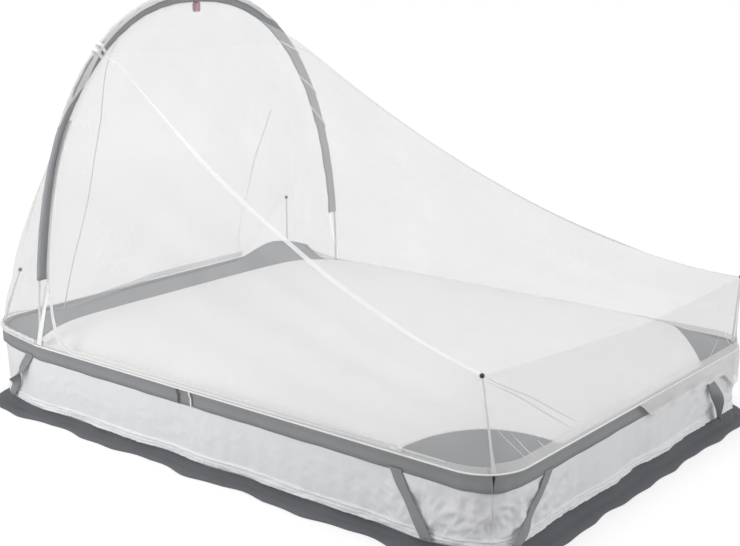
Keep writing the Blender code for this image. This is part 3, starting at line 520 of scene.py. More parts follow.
rod_fibre = moulded("glass_fibre_rod", (0.60, 0.61, 0.60), (0.78, 0.79, 0.78), 0.35, 900.0, 0.0001)
black_plastic = moulded("black_moulded_plastic", (0.018, 0.018, 0.020), (0.045, 0.045, 0.048), 0.5, 1400.0, 0.0001)
white_plastic = moulded("white_moulded_plastic", (0.78, 0.78, 0.77), (0.86, 0.86, 0.85), 0.4, 1400.0, 0.0001)
rod_names = ["near_foot_rod", "near_head_rod", "far_foot_rod", "far_head_rod", "foot_rod", "head_rod",
             "near_arch_pole", "crown_arch_pole", "far_arch_pole"]
black_names = [corner + end for corner in CORNERS for end in ("_socket", "_post")]
black_names += ["near_arch_cup", "far_arch_cup"]
for names, material in ((rod_names, rod_fibre), (black_names, black_plastic),
                        (["zip_slider", "zip_pull"], white_plastic)):
    for name in names:
        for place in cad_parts[name].material_slots:
            place.material = material
print("finished", len(rod_names) + len(black_names) + 2, "solid nodes")

# %% [markdown]
# The grey bands are strips of woven cloth, folded over the rods and sewn together just under them.
# The seam pulls in a line below the rod, and the part under it hangs flat. On each long side the rods
# meet at a joint, where the band is gathered in two narrow bunches with a tape down each, one dark
# and one white. Two curves describe such a band: its section, which goes down the outside, round the
# rod and down the inside, and the rods' own path. Near a corner the section opens to a box round the
# socket, and two bands meet there in a narrow slit, which gapes a little at its top.

# %% Base bands
cloth_thickness = 0.001
ply_gap = 0.001
ply_knee = 0.013
socket_half = 0.0089
socket_reach = 0.045
slit_bottom = 0.0014
slit_top = 0.0075
gather_spacing = 0.052
gather_reach = 0.009
gather_shift = -0.02
band_ripple = 0.0012
binding_width = 0.006
tape_thickness = 0.0008
turn_steps = 8
long_columns = 260
short_columns = 180
BAND_SPANS = {
    "near_band": ("near_sleeve", CORNERS["near_head"] - perimeter, CORNERS["near_foot"], rod_joint_x),
    "foot_band": ("foot_sleeve", CORNERS["near_foot"], CORNERS["far_foot"], None),
    "far_band": ("far_sleeve", CORNERS["far_foot"], CORNERS["far_head"], far_middle - rod_joint_x),
    "head_band": ("head_sleeve", CORNERS["far_head"], CORNERS["near_head"], None),
}


def band_section(half, width, opened=False, steps=turn_steps):
    """The folded strip's middle line as (across, down) points, from its outer to its inner edge."""
    bend = half - cloth_thickness / 2
    ply = bend if opened else (cloth_thickness + ply_gap) / 2
    side = [(ply, width - half), (ply, (width - half) * 0.65), (ply, ply_knee + 0.008), (ply, ply_knee),
            (0.5 * (ply + bend), ply_knee * 0.62)]
    turn = [(bend * math.cos(math.pi * step / steps), -bend * math.sin(math.pi * step / steps))
            for step in range(steps + 1)]
    return side + turn + [(-across, down) for across, down in reversed(side)]


def gather(distance, joint):
    """How strongly the band is bunched: 1 in the middle of a bunch and 0 away from it."""
    if joint is None:
        return 0.0
    nearest = min(abs(distance - joint - gather_shift - side * gather_spacing / 2) for side in (-1, 1))
    return smooth(1 - nearest / gather_reach)


def make_band(name, start, end, joint, columns):
    section = band_section(sleeve_half, sleeve_width)
    boxed = band_section(socket_half, band_bottom + socket_half, True)

    def place(u, v):
        row = round(v * (len(section) - 1))
        slit = slit_bottom + (slit_top - slit_bottom) * (1 - smooth(section[row][1] / 0.030))
        distance = start + slit / 2 + (end - start - slit) * u
        opened = smooth(1 - (min(distance - start, end - distance) - 0.012) / socket_reach)
        across, down = Vector(section[row]).lerp(Vector(boxed[row]), opened)
        hang = smooth(down / (sleeve_width - sleeve_half)) * (1 - opened)
        ripple = band_ripple * hang * (math.sin(23 * distance) + 0.6 * math.sin(51 * distance + 1))
        bunch = gather(distance, joint)
        fold = 0.5 + 0.5 * math.sin(down * 900)
        out = across * (1 + 0.35 * bunch * fold) + ripple
        return rail_spot(distance, out, -down * (1 - 0.06 * bunch))
    return cloth(name, place, columns, len(section) - 1, band_grey, cloth_thickness)


def binding(name, distance, material):
    """A narrow tape sewn down the outside of a bunch."""
    def place(u, v):
        out = 0.0112 - 0.0055 * smooth((v - 0.15) / 0.4)
        return rail_spot(distance + (u - 0.5) * binding_width, out, 0.004 - v * (sleeve_width - 0.004))
    return cloth(name, place, 3, 14, material, tape_thickness)


for name, (node, start, end, joint) in BAND_SPANS.items():
    bindings = []
    if joint is not None:
        for index, (kind, material) in enumerate((("dark", hem_grey), ("white", tape_white))):
            spot = joint + gather_shift + (index - 0.5) * gather_spacing
            bindings.append(binding(f"{name}_{kind}_binding", spot, material))
            dress(bindings[-1], "grey_band" if kind == "dark" else "white_tape")
    band = make_band(name, start, end, joint, long_columns if joint is not None else short_columns)
    dress(band, "grey_band", node, flat=(2 * sleeve_width + 0.012, end - start + 0.01), held="stretched",
          rests_on=["near_foot_rod", "near_head_rod", "foot_rod", "far_foot_rod", "far_head_rod", "head_rod"],
          area=flat_area(band), with_pieces=bindings)
    print(name, round(end - start, 3), "m long,", round(flat_area(band), 3), "m2 of cloth")

# %% [markdown]
# A thin white piping runs all round the upper edge of the bands, where the net is sewn on. It is a
# soft round cord in a tape, so it is swept as a slim tube along the loop, a little outside the rods.

# %% Piping
piping_radius = 0.0025
piping_drop = 0.0025
piping_steps = 420


def tube_round(name, spots, radius, sides, material, closed):
    """A slim round tube through a list of places, made by moving a grid into rings."""
    count = len(spots)

    def place(u, v):
        index = round(u * (count if closed else count - 1))
        here, ahead, behind = spots[index % count], spots[(index + 1) % count], spots[(index - 1) % count]
        if not closed:
            ahead, behind = spots[min(index + 1, count - 1)], spots[max(index - 1, 0)]
        along = (ahead - behind).normalized()
        side = along.cross(Vector((0.0, 0.0, 1.0)) if abs(along.z) < 0.9 else Vector((1.0, 0.0, 0.0))).normalized()
        turn = 2 * math.pi * v
        return here + side * (radius * math.cos(turn)) + along.cross(side) * (radius * math.sin(turn))
    builder = bmesh.new()
    cloth_grid(builder, place, count if closed else count - 1, sides)
    bmesh.ops.remove_doubles(builder, verts=builder.verts, dist=0.00002)
    bmesh.ops.holes_fill(builder, edges=[edge for edge in builder.edges if edge.is_boundary])
    return finish_mesh(name, builder, material, weld=0)


piping_spots = []
for step in range(piping_steps):
    distance = perimeter * step / piping_steps
    near = min(abs(distance - corner) for corner in CORNERS.values())
    piping_spots.append(rail_spot(distance, rim_outward + 0.0012 * smooth(1 - near / socket_reach),
                                  sleeve_half - piping_drop))
piping = tube_round("piping", piping_spots, piping_radius, 10, tape_white, True)
dress(piping, "white_tape", "rail_piping")
print("piping", len(piping.data.polygons), "faces")

# %% [markdown]
# The arch's sleeve is the same kind of folded strip, sewn round the pole and pointing into the arch.
# It stops a hand's width above the base frame, so that the pole's legs are bare. Its fold is tight
# on the pole, and the free part is a flat band that the net is sewn to along its inner edge.

# %% Arch band
arch_sleeve_width = 0.040
arch_columns = 220


def band_turn(share):
    """How far the band is turned about its pole: the head net draws its near side towards the head."""
    return 0.42 * math.exp(-((share - 0.19) / 0.075) ** 2)


def beside_pole(share, across, down, turn=0.0):
    """A point beside the pole, across and down in the band's own section, which may be turned."""
    across, down = Matrix.Rotation(turn, 2) @ Vector((across, down))
    return pole_spot(share) + Vector((across, 0.0, 0.0)) + pole_inward(share) * down


def arch_band_spot(u, v):
    share = sleeve_end_share + (1 - 2 * sleeve_end_share) * u
    across, down = arch_section[round(v * (len(arch_section) - 1))]
    hang = smooth(down / arch_sleeve_depth)
    ripple = band_ripple * hang * (math.sin(90 * share) + 0.6 * math.sin(210 * share))
    return beside_pole(share, across + ripple, down, band_turn(share))


arch_section = band_section(arch_sleeve_half, arch_sleeve_width)
# The arch band takes the painted lighter copy of the band grey.
arch_band = cloth("arch_band", arch_band_spot, arch_columns, len(arch_section) - 1, arch_grey_painted_lighter, cloth_thickness)
arch_length = sum((pole_spot((step + 1) / 64) - pole_spot(step / 64)).length for step in range(64))
dress(arch_band, "grey_band", "arch_sleeve", body="arch", flat=(2 * arch_sleeve_width + 0.016, arch_length),
      held="stretched", rests_on=["near_arch_pole", "crown_arch_pole", "far_arch_pole"], area=flat_area(arch_band))
print("pole", round(arch_length, 3), "m, arch band", round(flat_area(arch_band), 3), "m2")

# %% [markdown]
# The net is the main form. It hangs from the arch like a saddle: from the arch to the foot posts its
# ridges sag in a curve, and between the ridges it dips again. One part of it is worked out for the
# foot end and one for the head end. Each point has two values: u runs from the arch to the far edge,
# and share runs round the arch from the near rail to the far rail. The shoulders are the shares where
# the ridges start, at which the roof turns into a side. The two near posts lean in a little under
# the pull of the net, as they do in the photograph, and the net near them leans along.

# %% Shape of the net
net_edge_gap = 0.0092
net_corner_outward = 0.0145
net_stand_off = 0.004
post_rise = 0.215
shoulder_y = 0.37
foot_edge_sag = 0.008
head_lip_power = 1.5
head_seam_share = 1 / 3
net_inset = 0.0365
leg_slit = 0.0056
inset_reach = 0.075
fan_depth = 0.0075
fine_fold_depth = 0.0016
shoulder = math.acos((shoulder_y / (half_width + rim_outward)) ** (arch_fullness / 2)) / math.pi


def around_corner(place, bend_start, straight, outward):
    """Half the width of a line with round corners that runs beside the rods, at a place along it."""
    past = max(abs(place) - bend_start, 0.0)
    return straight + math.sqrt(max((corner_radius + outward) ** 2 - past * past, 0.0))


def rim_side_y(x):
    """Half the width of the line that the net stands on, at a place along the tent."""
    return around_corner(x, long_straight, short_straight, rim_outward)


def rim_end_x(y):
    """Half the length of the line that the net stands on, at a place across the tent."""
    return around_corner(y, short_straight, long_straight, rim_outward)


class NetEnd:
    """The foot or the head part of the net, from the arch to its two post corners."""

    def __init__(self, side, powers, flares, lean, slack=0.0):
        place = CORNERS["near_foot" if side > 0 else "near_head"]
        self.side = side
        self.start_x = arch_x + side * net_edge_gap
        self.rim_corner = rail_spot(place, rim_outward, rim_up)
        self.corner = rail_spot(place, net_corner_outward, sleeve_half + post_rise)
        self.powers = powers
        self.flares = flares
        self.lean = Vector(lean)
        self.slack = slack

    def end_top(self, across):
        """The far edge from corner to corner; across runs from -1 on the near side to 1."""
        y = -self.corner.y * across
        if self.side > 0:
            return Vector((self.corner.x, y, self.corner.z - foot_edge_sag * (1 - across * across)))
        climb = (max(abs(across) - 1 + head_seam_share, 0.0) / head_seam_share) ** head_lip_power
        spread = -self.corner.x - rim_end_x(self.corner.y)
        edge_x = -rim_end_x(y) - spread * climb
        low = rod_z(edge_x) + rim_up
        return Vector((edge_x, y, low + (self.corner.z - low) * climb))

    def hung(self, u, share):
        """A point of the net as it hangs from the arch's outer side."""
        near_share = min(share, 1 - share)
        hand = 1 if share <= 0.5 else -1
        start_rim = rod_z(arch_x) + rim_up
        rise = pole_spot(0.5).z + net_stand_off - start_rim
        start = arch_curve(near_share, half_width + rim_outward, rise, rim_up)
        shift = 0.0
        side = min(max((share - shoulder) / (1 - 2 * shoulder), 0.0), 1.0)
        power, flare = [first + (second - first) * side for first, second in (self.powers, self.flares)]
        power += self.slack * (1 - side) * smooth((side - 0.03) / 0.2)
        if near_share < shoulder:
            climb = near_share / shoulder
            rim_x = self.start_x + (self.rim_corner.x - self.start_x) * u
            rim = rod_z(rim_x) + rim_up
            end = self.rim_corner.lerp(self.corner, climb)
            end.z = rim + (self.corner.z - rim) * climb
            start.z += (rim - start_rim) * (1 - climb)
            spread = (half_width + rim_outward + self.rim_corner.y) * (1 - u) ** flare
            straight = self.rim_corner.y - spread
            shift = (-rim_side_y(rim_x) - straight) * (1 - climb * climb)
        else:
            end = self.end_top((near_share - 0.5) / (0.5 - shoulder))
        x = self.start_x + (end.x - self.start_x) * u
        y = end.y + (start.y - end.y) * (1 - u) ** flare + shift
        z = end.z + (start.z - end.z) * (1 - u) ** power
        return Vector((x, hand * y, z))

    def folds(self, u, share):
        """Soft drape: fans of folds from the shoulders and the post caps, none along the edges."""
        place = share if share <= 0.5 else 1 - share
        side = place < shoulder
        run = place / shoulder if side else (place - shoulder) / (0.5 - shoulder)
        window = (4 * u * (1 - u)) * (math.sin(math.pi * run) if side else math.sin(math.pi * run / 2))
        fan = math.sin(9 * math.pi * run * (1 - 0.35 * u) + 2.2 * u + 3 * (share > 0.5))
        fine = math.sin(31 * run + 17 * u + 5 * math.sin(4 * u))
        return window * (fan_depth * fan + fine_fold_depth * fine)

    def spot(self, u, share):
        """A point of the net as sewn: near the arch it runs in to the band's inner edge."""
        spot = self.hung(u, share)
        away = abs(spot.x - self.start_x)
        rise = pole_spot(share).z - rod_z(arch_x)
        sewn = smooth(rise / arch_bare_leg)
        pull = math.exp(-(away / inset_reach) ** 2) * sewn
        turn = band_turn(share)
        spot += pole_inward(share) * (net_inset * pull * math.cos(turn))
        spot.x -= net_inset * pull * math.sin(turn)
        slit = leg_slit * smooth(rise / 0.06) if rise < arch_bare_leg * 0.98 else 0.0
        spot.x -= self.side * (net_edge_gap - slit) * max(1 - away / 0.02, 0.0)
        outward = Vector((0.0, spot.y, spot.z - rod_z(arch_x))).normalized()
        return spot + outward * self.folds(u, share) + self.leant(u, share)

    def leant(self, u, share):
        """How far the leaning near post draws this point of the net along."""
        if share > 0.5:
            return Vector()
        part = share / shoulder if share < shoulder else 1 - (share - shoulder) / (0.5 - shoulder)
        return self.lean * (part * u ** 1.2)

    def normal(self, u, share):
        step = 0.002
        along = self.spot(min(u + step, 1), share) - self.spot(max(u - step, 0), share)
        across = self.spot(u, min(share + step, 1)) - self.spot(u, max(share - step, 0))
        return along.cross(across).normalized() * self.side


foot_net = NetEnd(1, (1.7, 1.65), (0.8, 1.0), (-0.055, 0.02, 0.018), 0.5)
head_net = NetEnd(-1, (1.25, 1.25), (1.6, 1.6), (0.075, 0.035, -0.03))
print("the shoulders are at share", round(shoulder, 3), "and the foot posts' caps at",
      tuple(round(value, 3) for value in foot_net.corner))

# %% [markdown]
# The whole canopy is one sheet: the foot part, the head part, the two small pieces round the head
# posts and the upright wall at the foot are grids that are welded where they meet. Below the band's
# ends at the arch the two parts leave a short slit, where each bare leg comes out through the net.
# When the arch leans, the net follows it at the arch, stays put along the rail and at the posts, and
# stretches in between. The weights for that are worked out from where each point lies.

# %% Canopy
canopy_columns = 110
head_columns = 44
side_rows = 40
roof_rows = 90
canopy_rows = roof_rows + 2 * side_rows
corner_columns = roof_rows // 6
lean_height = 0.25
wall_belly = 0.010
wall_fold_depth = 0.0035


def spread_u(step):
    """Columns lie closer together towards the arch and the far edge."""
    return step / 2 + (1 - math.cos(math.pi * step)) / 4


def spread_share(v):
    """Rows meet the shoulders exactly, so that the wall and the corners fit on point by point."""
    row = round(v * canopy_rows)
    if row <= side_rows:
        return shoulder * row / side_rows
    if row >= side_rows + roof_rows:
        return 1 - shoulder * (canopy_rows - row) / side_rows
    return shoulder + (1 - 2 * shoulder) * (row - side_rows) / roof_rows


def corner_spot(u, v, hand):
    """The upright net round a head corner, from the post at 0 to the head seam at 1."""
    reach = head_seam_share * u
    high = head_net.end_top(reach - 1)
    low_y = head_net.rim_corner.y * (1 - reach)
    low_x = -rim_end_x(low_y)
    spot = Vector((low_x, low_y, rod_z(low_x) + rim_up)).lerp(high, v)
    if hand > 0:
        spot += head_net.lean * (v * (1 - reach))
    spot.y *= hand
    return spot


def wall_spot(u, v):
    """The upright net from the foot rail up to the line from post to post, with fans of folds."""
    start, end = CORNERS["near_foot"], CORNERS["far_foot"]
    across = 2 * u - 1
    low = rail_spot(start + (end - start) * u, rim_outward, rim_up)
    spot = low.lerp(foot_net.end_top(across), v)
    belly = 4 * v * (1 - v)
    fan = math.sin(math.pi * (5.5 * abs(across) + 1.5 * v)) * (1 - abs(across) ** 8)
    spot.x -= wall_belly * belly * (1 - across * across) + wall_fold_depth * belly * (1 + fan)
    return spot + foot_net.lean * (v * max(-across, 0.0))


def lean_share(spot):
    """How far a point of the net follows the arch: 1 at the arch, 0 at the rail and the posts."""
    reach = foot_net.corner.x - arch_x if spot.x > arch_x else arch_x - head_net.corner.x
    along = min(abs(spot.x - arch_x) / reach, 1.0)
    return (1 - along) ** 2 * smooth((spot.z - rod_z(arch_x)) / lean_height)


def lean_with_arch(item):
    """The piece bends between the base frame and the arch by its own weights."""
    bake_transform(item, "base", "arch", (arch_x, 0.0, rod_height), (arch_x, 0.0, rod_height + arch_rise))
    weights = item.data.attributes["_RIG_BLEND"].data
    for vert, weight in zip(item.data.vertices, weights):
        weight.value = lean_share(vert.co)


def make_canopy():
    builder = bmesh.new()
    for end, columns in ((foot_net, canopy_columns), (head_net, head_columns)):
        cloth_grid(builder, lambda u, v: end.spot(spread_u(u), spread_share(v)), columns, canopy_rows)
    for hand in (1, -1):
        cloth_grid(builder, lambda u, v: corner_spot(u, v, hand), corner_columns, side_rows)
    cloth_grid(builder, wall_spot, roof_rows, side_rows)
    return finish_mesh("net_canopy", builder, net_white, weld=0.0004)


canopy = make_canopy()
dress(canopy, "white_net", "foot_roof_net", "near_side_net", "far_side_net", "head_roof_net", "near_head_net",
      "far_head_net", "foot_wall_net", body=None)
lean_with_arch(canopy)
print("canopy", len(canopy.data.polygons), "faces,", round(flat_area(canopy), 2), "m2 of net")

# %% [markdown]
# Tapes are sewn on wherever the net is seamed: along the two ridges to the foot posts, from the
# shoulders down to the head end, up the corners over the posts, and round the lower edge, where the
# net is doubled for a finger's width. Each follows the net a hair outside it and moves with it.

# %% Seam tapes and the doubled lower edge
tape_lift = 0.0012
ridge_width = 0.013
stitch_width = 0.004
head_seam_width = 0.0045
crease_width = 0.0055
roll_radius = 0.0068
ridge_line = [(0.0, 0.311), (0.05, 0.319), (0.11, 0.322), (0.20, 0.3245), (0.33, 0.327), (0.42, 0.331), (0.52, 0.337),
              (0.65, 0.3415), (0.74, 0.346), (0.85, 0.348), (1.0, shoulder)]
near_head_line = [(0.0, 0.352), (0.116, 0.3636), (0.282, 0.3865), (0.455, 0.3957), (0.582, 0.398), (0.725, 0.3965),
                  (0.859, 0.396), (1.0, 0.3965)]
far_head_line = [(0.36, 0.634), (0.392, 0.6272), (0.501, 0.6079), (0.649, 0.597), (0.764, 0.5915), (0.89, 0.5925),
                 (1.0, 0.597)]
hem_height = 0.022
side_hem_height = 0.015


def net_strip(name, end, path, width, lift, material, rows=2):
    """A strip of tape that follows (u, share) pairs just outside the net; width may change along it."""
    wide = width if callable(width) else lambda along: width
    spots = [end.spot(*pair) for pair in path]
    normals = [end.normal(*pair) for pair in path]
    last = len(path) - 1

    def place(u, v):
        index = round(u * last)
        along = spots[min(index + 1, last)] - spots[max(index - 1, 0)]
        side = normals[index].cross(along).normalized()
        return spots[index] + normals[index] * lift + side * ((v - 0.5) * wide(u))
    strip = cloth(name, place, last, rows, material)
    lean_with_arch(strip)
    return strip


def share_at_height(end, u, height):
    """The share of the near side at which the net is this high above the rim."""
    low, high = 0.0, shoulder
    rim = end.hung(u, 0.0).z
    for _ in range(24):
        middle = (low + high) / 2
        if end.hung(u, middle).z - rim < height:
            low = middle
        else:
            high = middle
    return low


def mirrored(path):
    return [(u, 1 - share) for u, share in path]


def ridge_tape_width(along):
    """A seam at the arch that grows to a full tape."""
    return stitch_width + (ridge_width - stitch_width) * smooth((along - 0.12) / 0.3)


def corner_seam_width(along):
    """Wide at the rail and narrow at the post's cap."""
    return stitch_width + 0.009 * (1 - along) ** 4


def far_seam_width(along):
    """Wide where the seam catches the light, and a mere stitch line below."""
    return 0.003 + 0.009 * smooth(2.2 - 4 * along) * smooth(along * 12)


def rounded(points, steps):
    """A smooth line through the points (Catmull-Rom), with the same number of steps in every span."""
    line = []
    for index in range(len(points) - 1):
        four = [Vector(points[min(max(index + part, 0), len(points) - 1)]) for part in (-1, 0, 1, 2)]
        for step in range(steps):
            t = step / steps
            line.append(0.5 * (2 * four[1] + (four[2] - four[0]) * t
                               + (2 * four[0] - 5 * four[1] + 4 * four[2] - four[3]) * t * t
                               + (3 * four[1] - four[0] - 3 * four[2] + four[3]) * t ** 3))
    return line + [Vector(points[-1])]


head_seam_end = 0.5 - (1 - head_seam_share) * (0.5 - shoulder)
ridge_path = rounded(ridge_line, 12)
corner_path = [(1.0, shoulder * step / 40) for step in range(41)]
tapes = [net_strip("near_head_seam", head_net, rounded(near_head_line, 9), head_seam_width, tape_lift, tape_white),
         net_strip("far_head_seam", head_net, rounded(far_head_line, 9), far_seam_width, tape_lift, net_double)]
for side, turned_path in (("near", lambda path: path), ("far", mirrored)):
    ridge = net_strip(side + "_ridge_seam", foot_net, turned_path(ridge_path), ridge_tape_width,
                      tape_lift, net_seam)
    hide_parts(side + "_ridge_tape")
    tapes.append(ridge)
    for end, where in ((foot_net, "foot"), (head_net, "head")):
        tapes.append(net_strip(f"{side}_{where}_corner_seam", end, turned_path(corner_path),
                               corner_seam_width, tape_lift, net_seam))


def side_hem(end, far):
    """The doubled strip along one side of one end of the net."""
    steps = 80 if end.side > 0 else 30
    tops = [share_at_height(end, step / steps, side_hem_height) for step in range(steps + 1)]

    def place(u, v):
        share = tops[round(u * steps)] * v
        pair = (u, 1 - share if far else share)
        return end.spot(*pair) + end.normal(*pair) * (tape_lift / 2)
    return place, steps


def make_hem_strip():
    builder = bmesh.new()
    for end in (foot_net, head_net):
        for far in (False, True):
            place, steps = side_hem(end, far)
            cloth_grid(builder, place, steps, 4)
    wall_share = hem_height / (foot_net.corner.z - foot_net.rim_corner.z)
    front, back = Vector((tape_lift / 2, 0.0, 0.0)), Vector((-tape_lift / 2, 0.0, 0.0))
    cloth_grid(builder, lambda u, v: wall_spot(u, wall_share * v) + front, roof_rows, 4)
    for hand in (1, -1):
        cloth_grid(builder, lambda u, v: corner_spot(u, wall_share * v, hand) + back, corner_columns, 4)
    seam = head_seam_end
    cloth_grid(builder, lambda u, v: head_net.spot(1 - 0.05 * v, seam + (1 - 2 * seam) * u) + back, 60, 4)
    return finish_mesh("net_hem_strip", builder, net_double)


# Fold lines of the foot wall, as (u, v) of the wall, where strips of brighter net are laid: partly doubled net,
# partly painted highlight.
WALL_CREASE_HIGHLIGHTS = (
    ((0.0, 1.0), (0.07, 0.79), (0.14, 0.585), (0.20, 0.36), (0.257, 0.15)),
    ((0.012, 0.93), (0.08, 0.71), (0.135, 0.51), (0.19, 0.29), (0.235, 0.09)),
    ((0.020, 0.43), (0.032, 0.33), (0.046, 0.23), (0.068, 0.08)),
    ((0.046, 0.37), (0.062, 0.25), (0.080, 0.13), (0.098, 0.03)),
    ((0.118, 0.18), (0.128, 0.11), (0.140, 0.04)),
    ((0.905, 0.90), (0.90, 0.62), (0.874, 0.31), (0.83, 0.16), (0.785, 0.03)),
    ((0.915, 0.80), (0.905, 0.45), (0.905, 0.22), (0.93, 0.02)),
)


def make_net_crease_highlights():
    """Narrow strips of brighter, denser net laid on the wall along its folds, drawn up to the posts' caps: partly the
    net lying double in a fold, partly painted highlight.
    """
    builder = bmesh.new()
    for crease in WALL_CREASE_HIGHLIGHTS:
        line = rounded(crease, 8)

        def place(u, v):
            index = round(u * (len(line) - 1))
            high = (v - 0.5) * crease_width * math.sin(math.pi * (0.08 + 0.84 * u))
            return wall_spot(*line[index]) + Vector((tape_lift, 0.0, high))
        cloth_grid(builder, place, len(line) - 1, 2)
    return finish_mesh("net_wall_crease_highlights", builder, net_seam)


def drape_spot(u, v):
    """Spare net at the far foot corner, hanging down over the band and the strap in soft waves."""
    start = long_straight + corner_length + short_straight
    distance = start - 0.05 + (CORNERS["far_foot"] + 0.03 - start + 0.05) * u
    fall = 0.056 + 0.055 * smooth((u - 0.72) / 0.12) + 0.010 * noise.noise(Vector((distance * 14, 0.0, 3.0)))
    fall *= v * smooth(u * 7)
    out = rim_outward + 0.004 + 0.004 * noise.noise(Vector((distance * 22, v * 2, 5.0))) * v
    return rail_spot(distance, out + 0.003 * smooth(fall / 0.03), rim_up - fall)


def make_net_roll():
    """The lower edge of the spare net, rolled up along the near rail from the head corner to the arch."""
    start, end = CORNERS["near_head"] - perimeter, arch_x - 0.02
    spots = [rail_spot(start + (end - start) * step / 60, rim_outward - 0.002,
                       rim_up + 0.006 + 0.002 * math.sin(step * 0.7)) for step in range(61)]
    return tube_round("net_roll", spots, roll_radius, 12, net_seam, False)


for piece in (make_net_crease_highlights(), cloth("net_corner_drape", drape_spot, 90, 16, net_seam), make_net_roll(),
              make_hem_strip()):
    lean_with_arch(piece)
    tapes.append(piece)
print("tapes", [tape.name for tape in tapes])

# %% [markdown]
# The door is a long L of zip tape on the near side: along the rail from the foot end, round a wide
# turn and up beside the arch. Where it turns, it hangs loose and swings out from the bare leg of the
# arch. The teeth are a narrow raised rib in the middle of the tape, with their pitch in the material.

# %% Door zip
zip_width = 0.018
zip_lift = 0.0021
teeth_width = 0.0042
zip_inset = 0.013
zip_foot_x = 0.86
zip_line = [(zip_foot_x, zip_inset), (0.4, zip_inset), (0.0, zip_inset), (-0.35, zip_inset),
            (-0.50, zip_inset), (-0.575, zip_inset + 0.001), (-0.6326, 0.049), (-0.6526, 0.084), (-0.6812, 0.130),
            (-0.705, 0.175), (-0.7128, 0.235), (-0.7115, 0.330), (-0.7108, 0.45), (-0.7108, 0.60), (-0.7108, 0.714)]
leg_line = [(-0.7190, 0.20), (-0.7210, 0.15), (-0.7205, 0.113), (-0.7180, 0.072), (-0.7189, 0.004)]


def teeth_material():
    material, tree, shader = new_material("zip_teeth", 0.45)
    vector, (warp, weft) = thread_lines(tree, 0.0016)
    tone = mixed_tone(tree, (warp, 0.8), (tone_noise(tree, vector, 60.0), 0.2))
    tree.links.new(two_colours(tree, tone, (0.68, 0.68, 0.68), (0.90, 0.90, 0.89)), shader.inputs["Base Color"])
    bump_from(tree, shader, warp, 0.0004, 0.9)
    return material


def near_side_path(points, steps):
    """The (u, share) pairs of a line on the near side, given as x and height above the rim."""
    path = []
    for x, height in rounded(points, steps):
        u = (x - foot_net.start_x) / (foot_net.rim_corner.x - foot_net.start_x)
        path.append((u, share_at_height(foot_net, u, height)))
    return path


def zip_tape_width(along):
    """Tapered at the foot end, and a little wider where it stands up beside the leg."""
    return zip_width * (0.25 + 0.75 * smooth(along * 9) + 0.25 * smooth(along * 8 - 5))


zip_path = near_side_path(zip_line, 14)
zip_tape = net_strip("door_zip", foot_net, zip_path, zip_tape_width, zip_lift, tape_white, 4)
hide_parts("door_zip_tape")
zip_teeth = net_strip("door_zip_teeth", foot_net, zip_path, teeth_width, zip_lift + 0.0007, teeth_material())
leg_tape = net_strip("door_leg_tape", foot_net, near_side_path(leg_line, 8), zip_width * 1.25, zip_lift + 0.0012,
                     tape_white, 4)
tapes += [zip_tape, zip_teeth, leg_tape]
print("door zip", len(zip_path), "places, from", tuple(round(value, 3) for value in foot_net.spot(*zip_path[0])),
      "to", tuple(round(value, 3) for value in foot_net.spot(*zip_path[-1])))

# %% [markdown]
# The roll of net that the panels are cut from is as wide as the way over the arch from rail to rail, and as long as
# the way from the foot rail over the roof to the head rail. Its width is worked out here.

def way_over_arch(first, last, steps=20):
    spots = [foot_net.hung(0, first + (last - first) * step / steps) for step in range(steps + 1)]
    return sum((after - before).length for before, after in zip(spots, spots[1:]))


roll_width = 2 * way_over_arch(0.0, shoulder) + way_over_arch(shoulder, 1 - shoulder)

# %% [markdown]
# The posts are short lengths of white fibre rod with black ball caps that carry the corners of the
# net. The caps are what shows in the photograph, as small black dots at the ends of the ridges.

# %% Posts
post_radius = 0.003
cap_radius = 0.0065
post_sunk = 0.030
post_steps = 24


def make_post(corner, lean):
    """A rod from inside its socket up to the corner of the net, which draws it along."""
    foot = rail_spot(CORNERS[corner], up=sleeve_half - post_sunk)
    top = rail_spot(CORNERS[corner], up=sleeve_half + post_rise)
    tip = rail_spot(CORNERS[corner], net_corner_outward, sleeve_half + post_rise) + lean
    spots = []
    for step in range(post_steps + 1):
        spot = foot.lerp(top, step / post_steps)
        rise = max(spot.z - foot.z - post_sunk, 0.0) / (top.z - foot.z - post_sunk)
        spots.append(spot + (tip - top) * rise ** 1.15)
    post = tube_round(corner + "_net_post", spots, post_radius, 16, white_plastic, False)
    post.data.materials.append(black_plastic)
    builder = bmesh.new()
    builder.from_mesh(post.data)
    cap = bmesh.ops.create_uvsphere(builder, u_segments=24, v_segments=16, radius=cap_radius,
                                    matrix=Matrix.Translation(spots[-1]))
    for face in {face for vert in cap["verts"] for face in vert.link_faces}:
        face.material_index = 1
        face.smooth = True
    builder.to_mesh(post.data)
    builder.free()
    dress(post, "black_plastic", corner + "_post")
    print("post", post.name, "leans", round(lean.length, 3), "m")


for corner, lean in (("near_foot", foot_net.lean), ("far_foot", Vector()),
                     ("near_head", head_net.lean), ("far_head", Vector())):
    make_post(corner, lean)

# %% [markdown]
# White tapes are wrapped slantwise round the arch band at the shoulders, where the ridges pull on
# it: two close together on the near shoulder and three down the far one. Between the shoulders a
# light strip of net lies over the outer side of the band. Under the top of the arch hangs a short
# dark pink loop for a lantern.

# %% Ties and lantern loop
tie_width = 0.013
tie_out = 0.0112
tie_slope = 2.3
tie_wrap = 0.115
cover_out = 0.0021
cover_start = 0.200
cover_reach = 0.470
TIES = {"near_band_tie": ("near_shoulder_tie", (0.305, 0.315)),
        "far_band_tie": ("far_shoulder_tie", (0.705, 0.775, 0.825))}


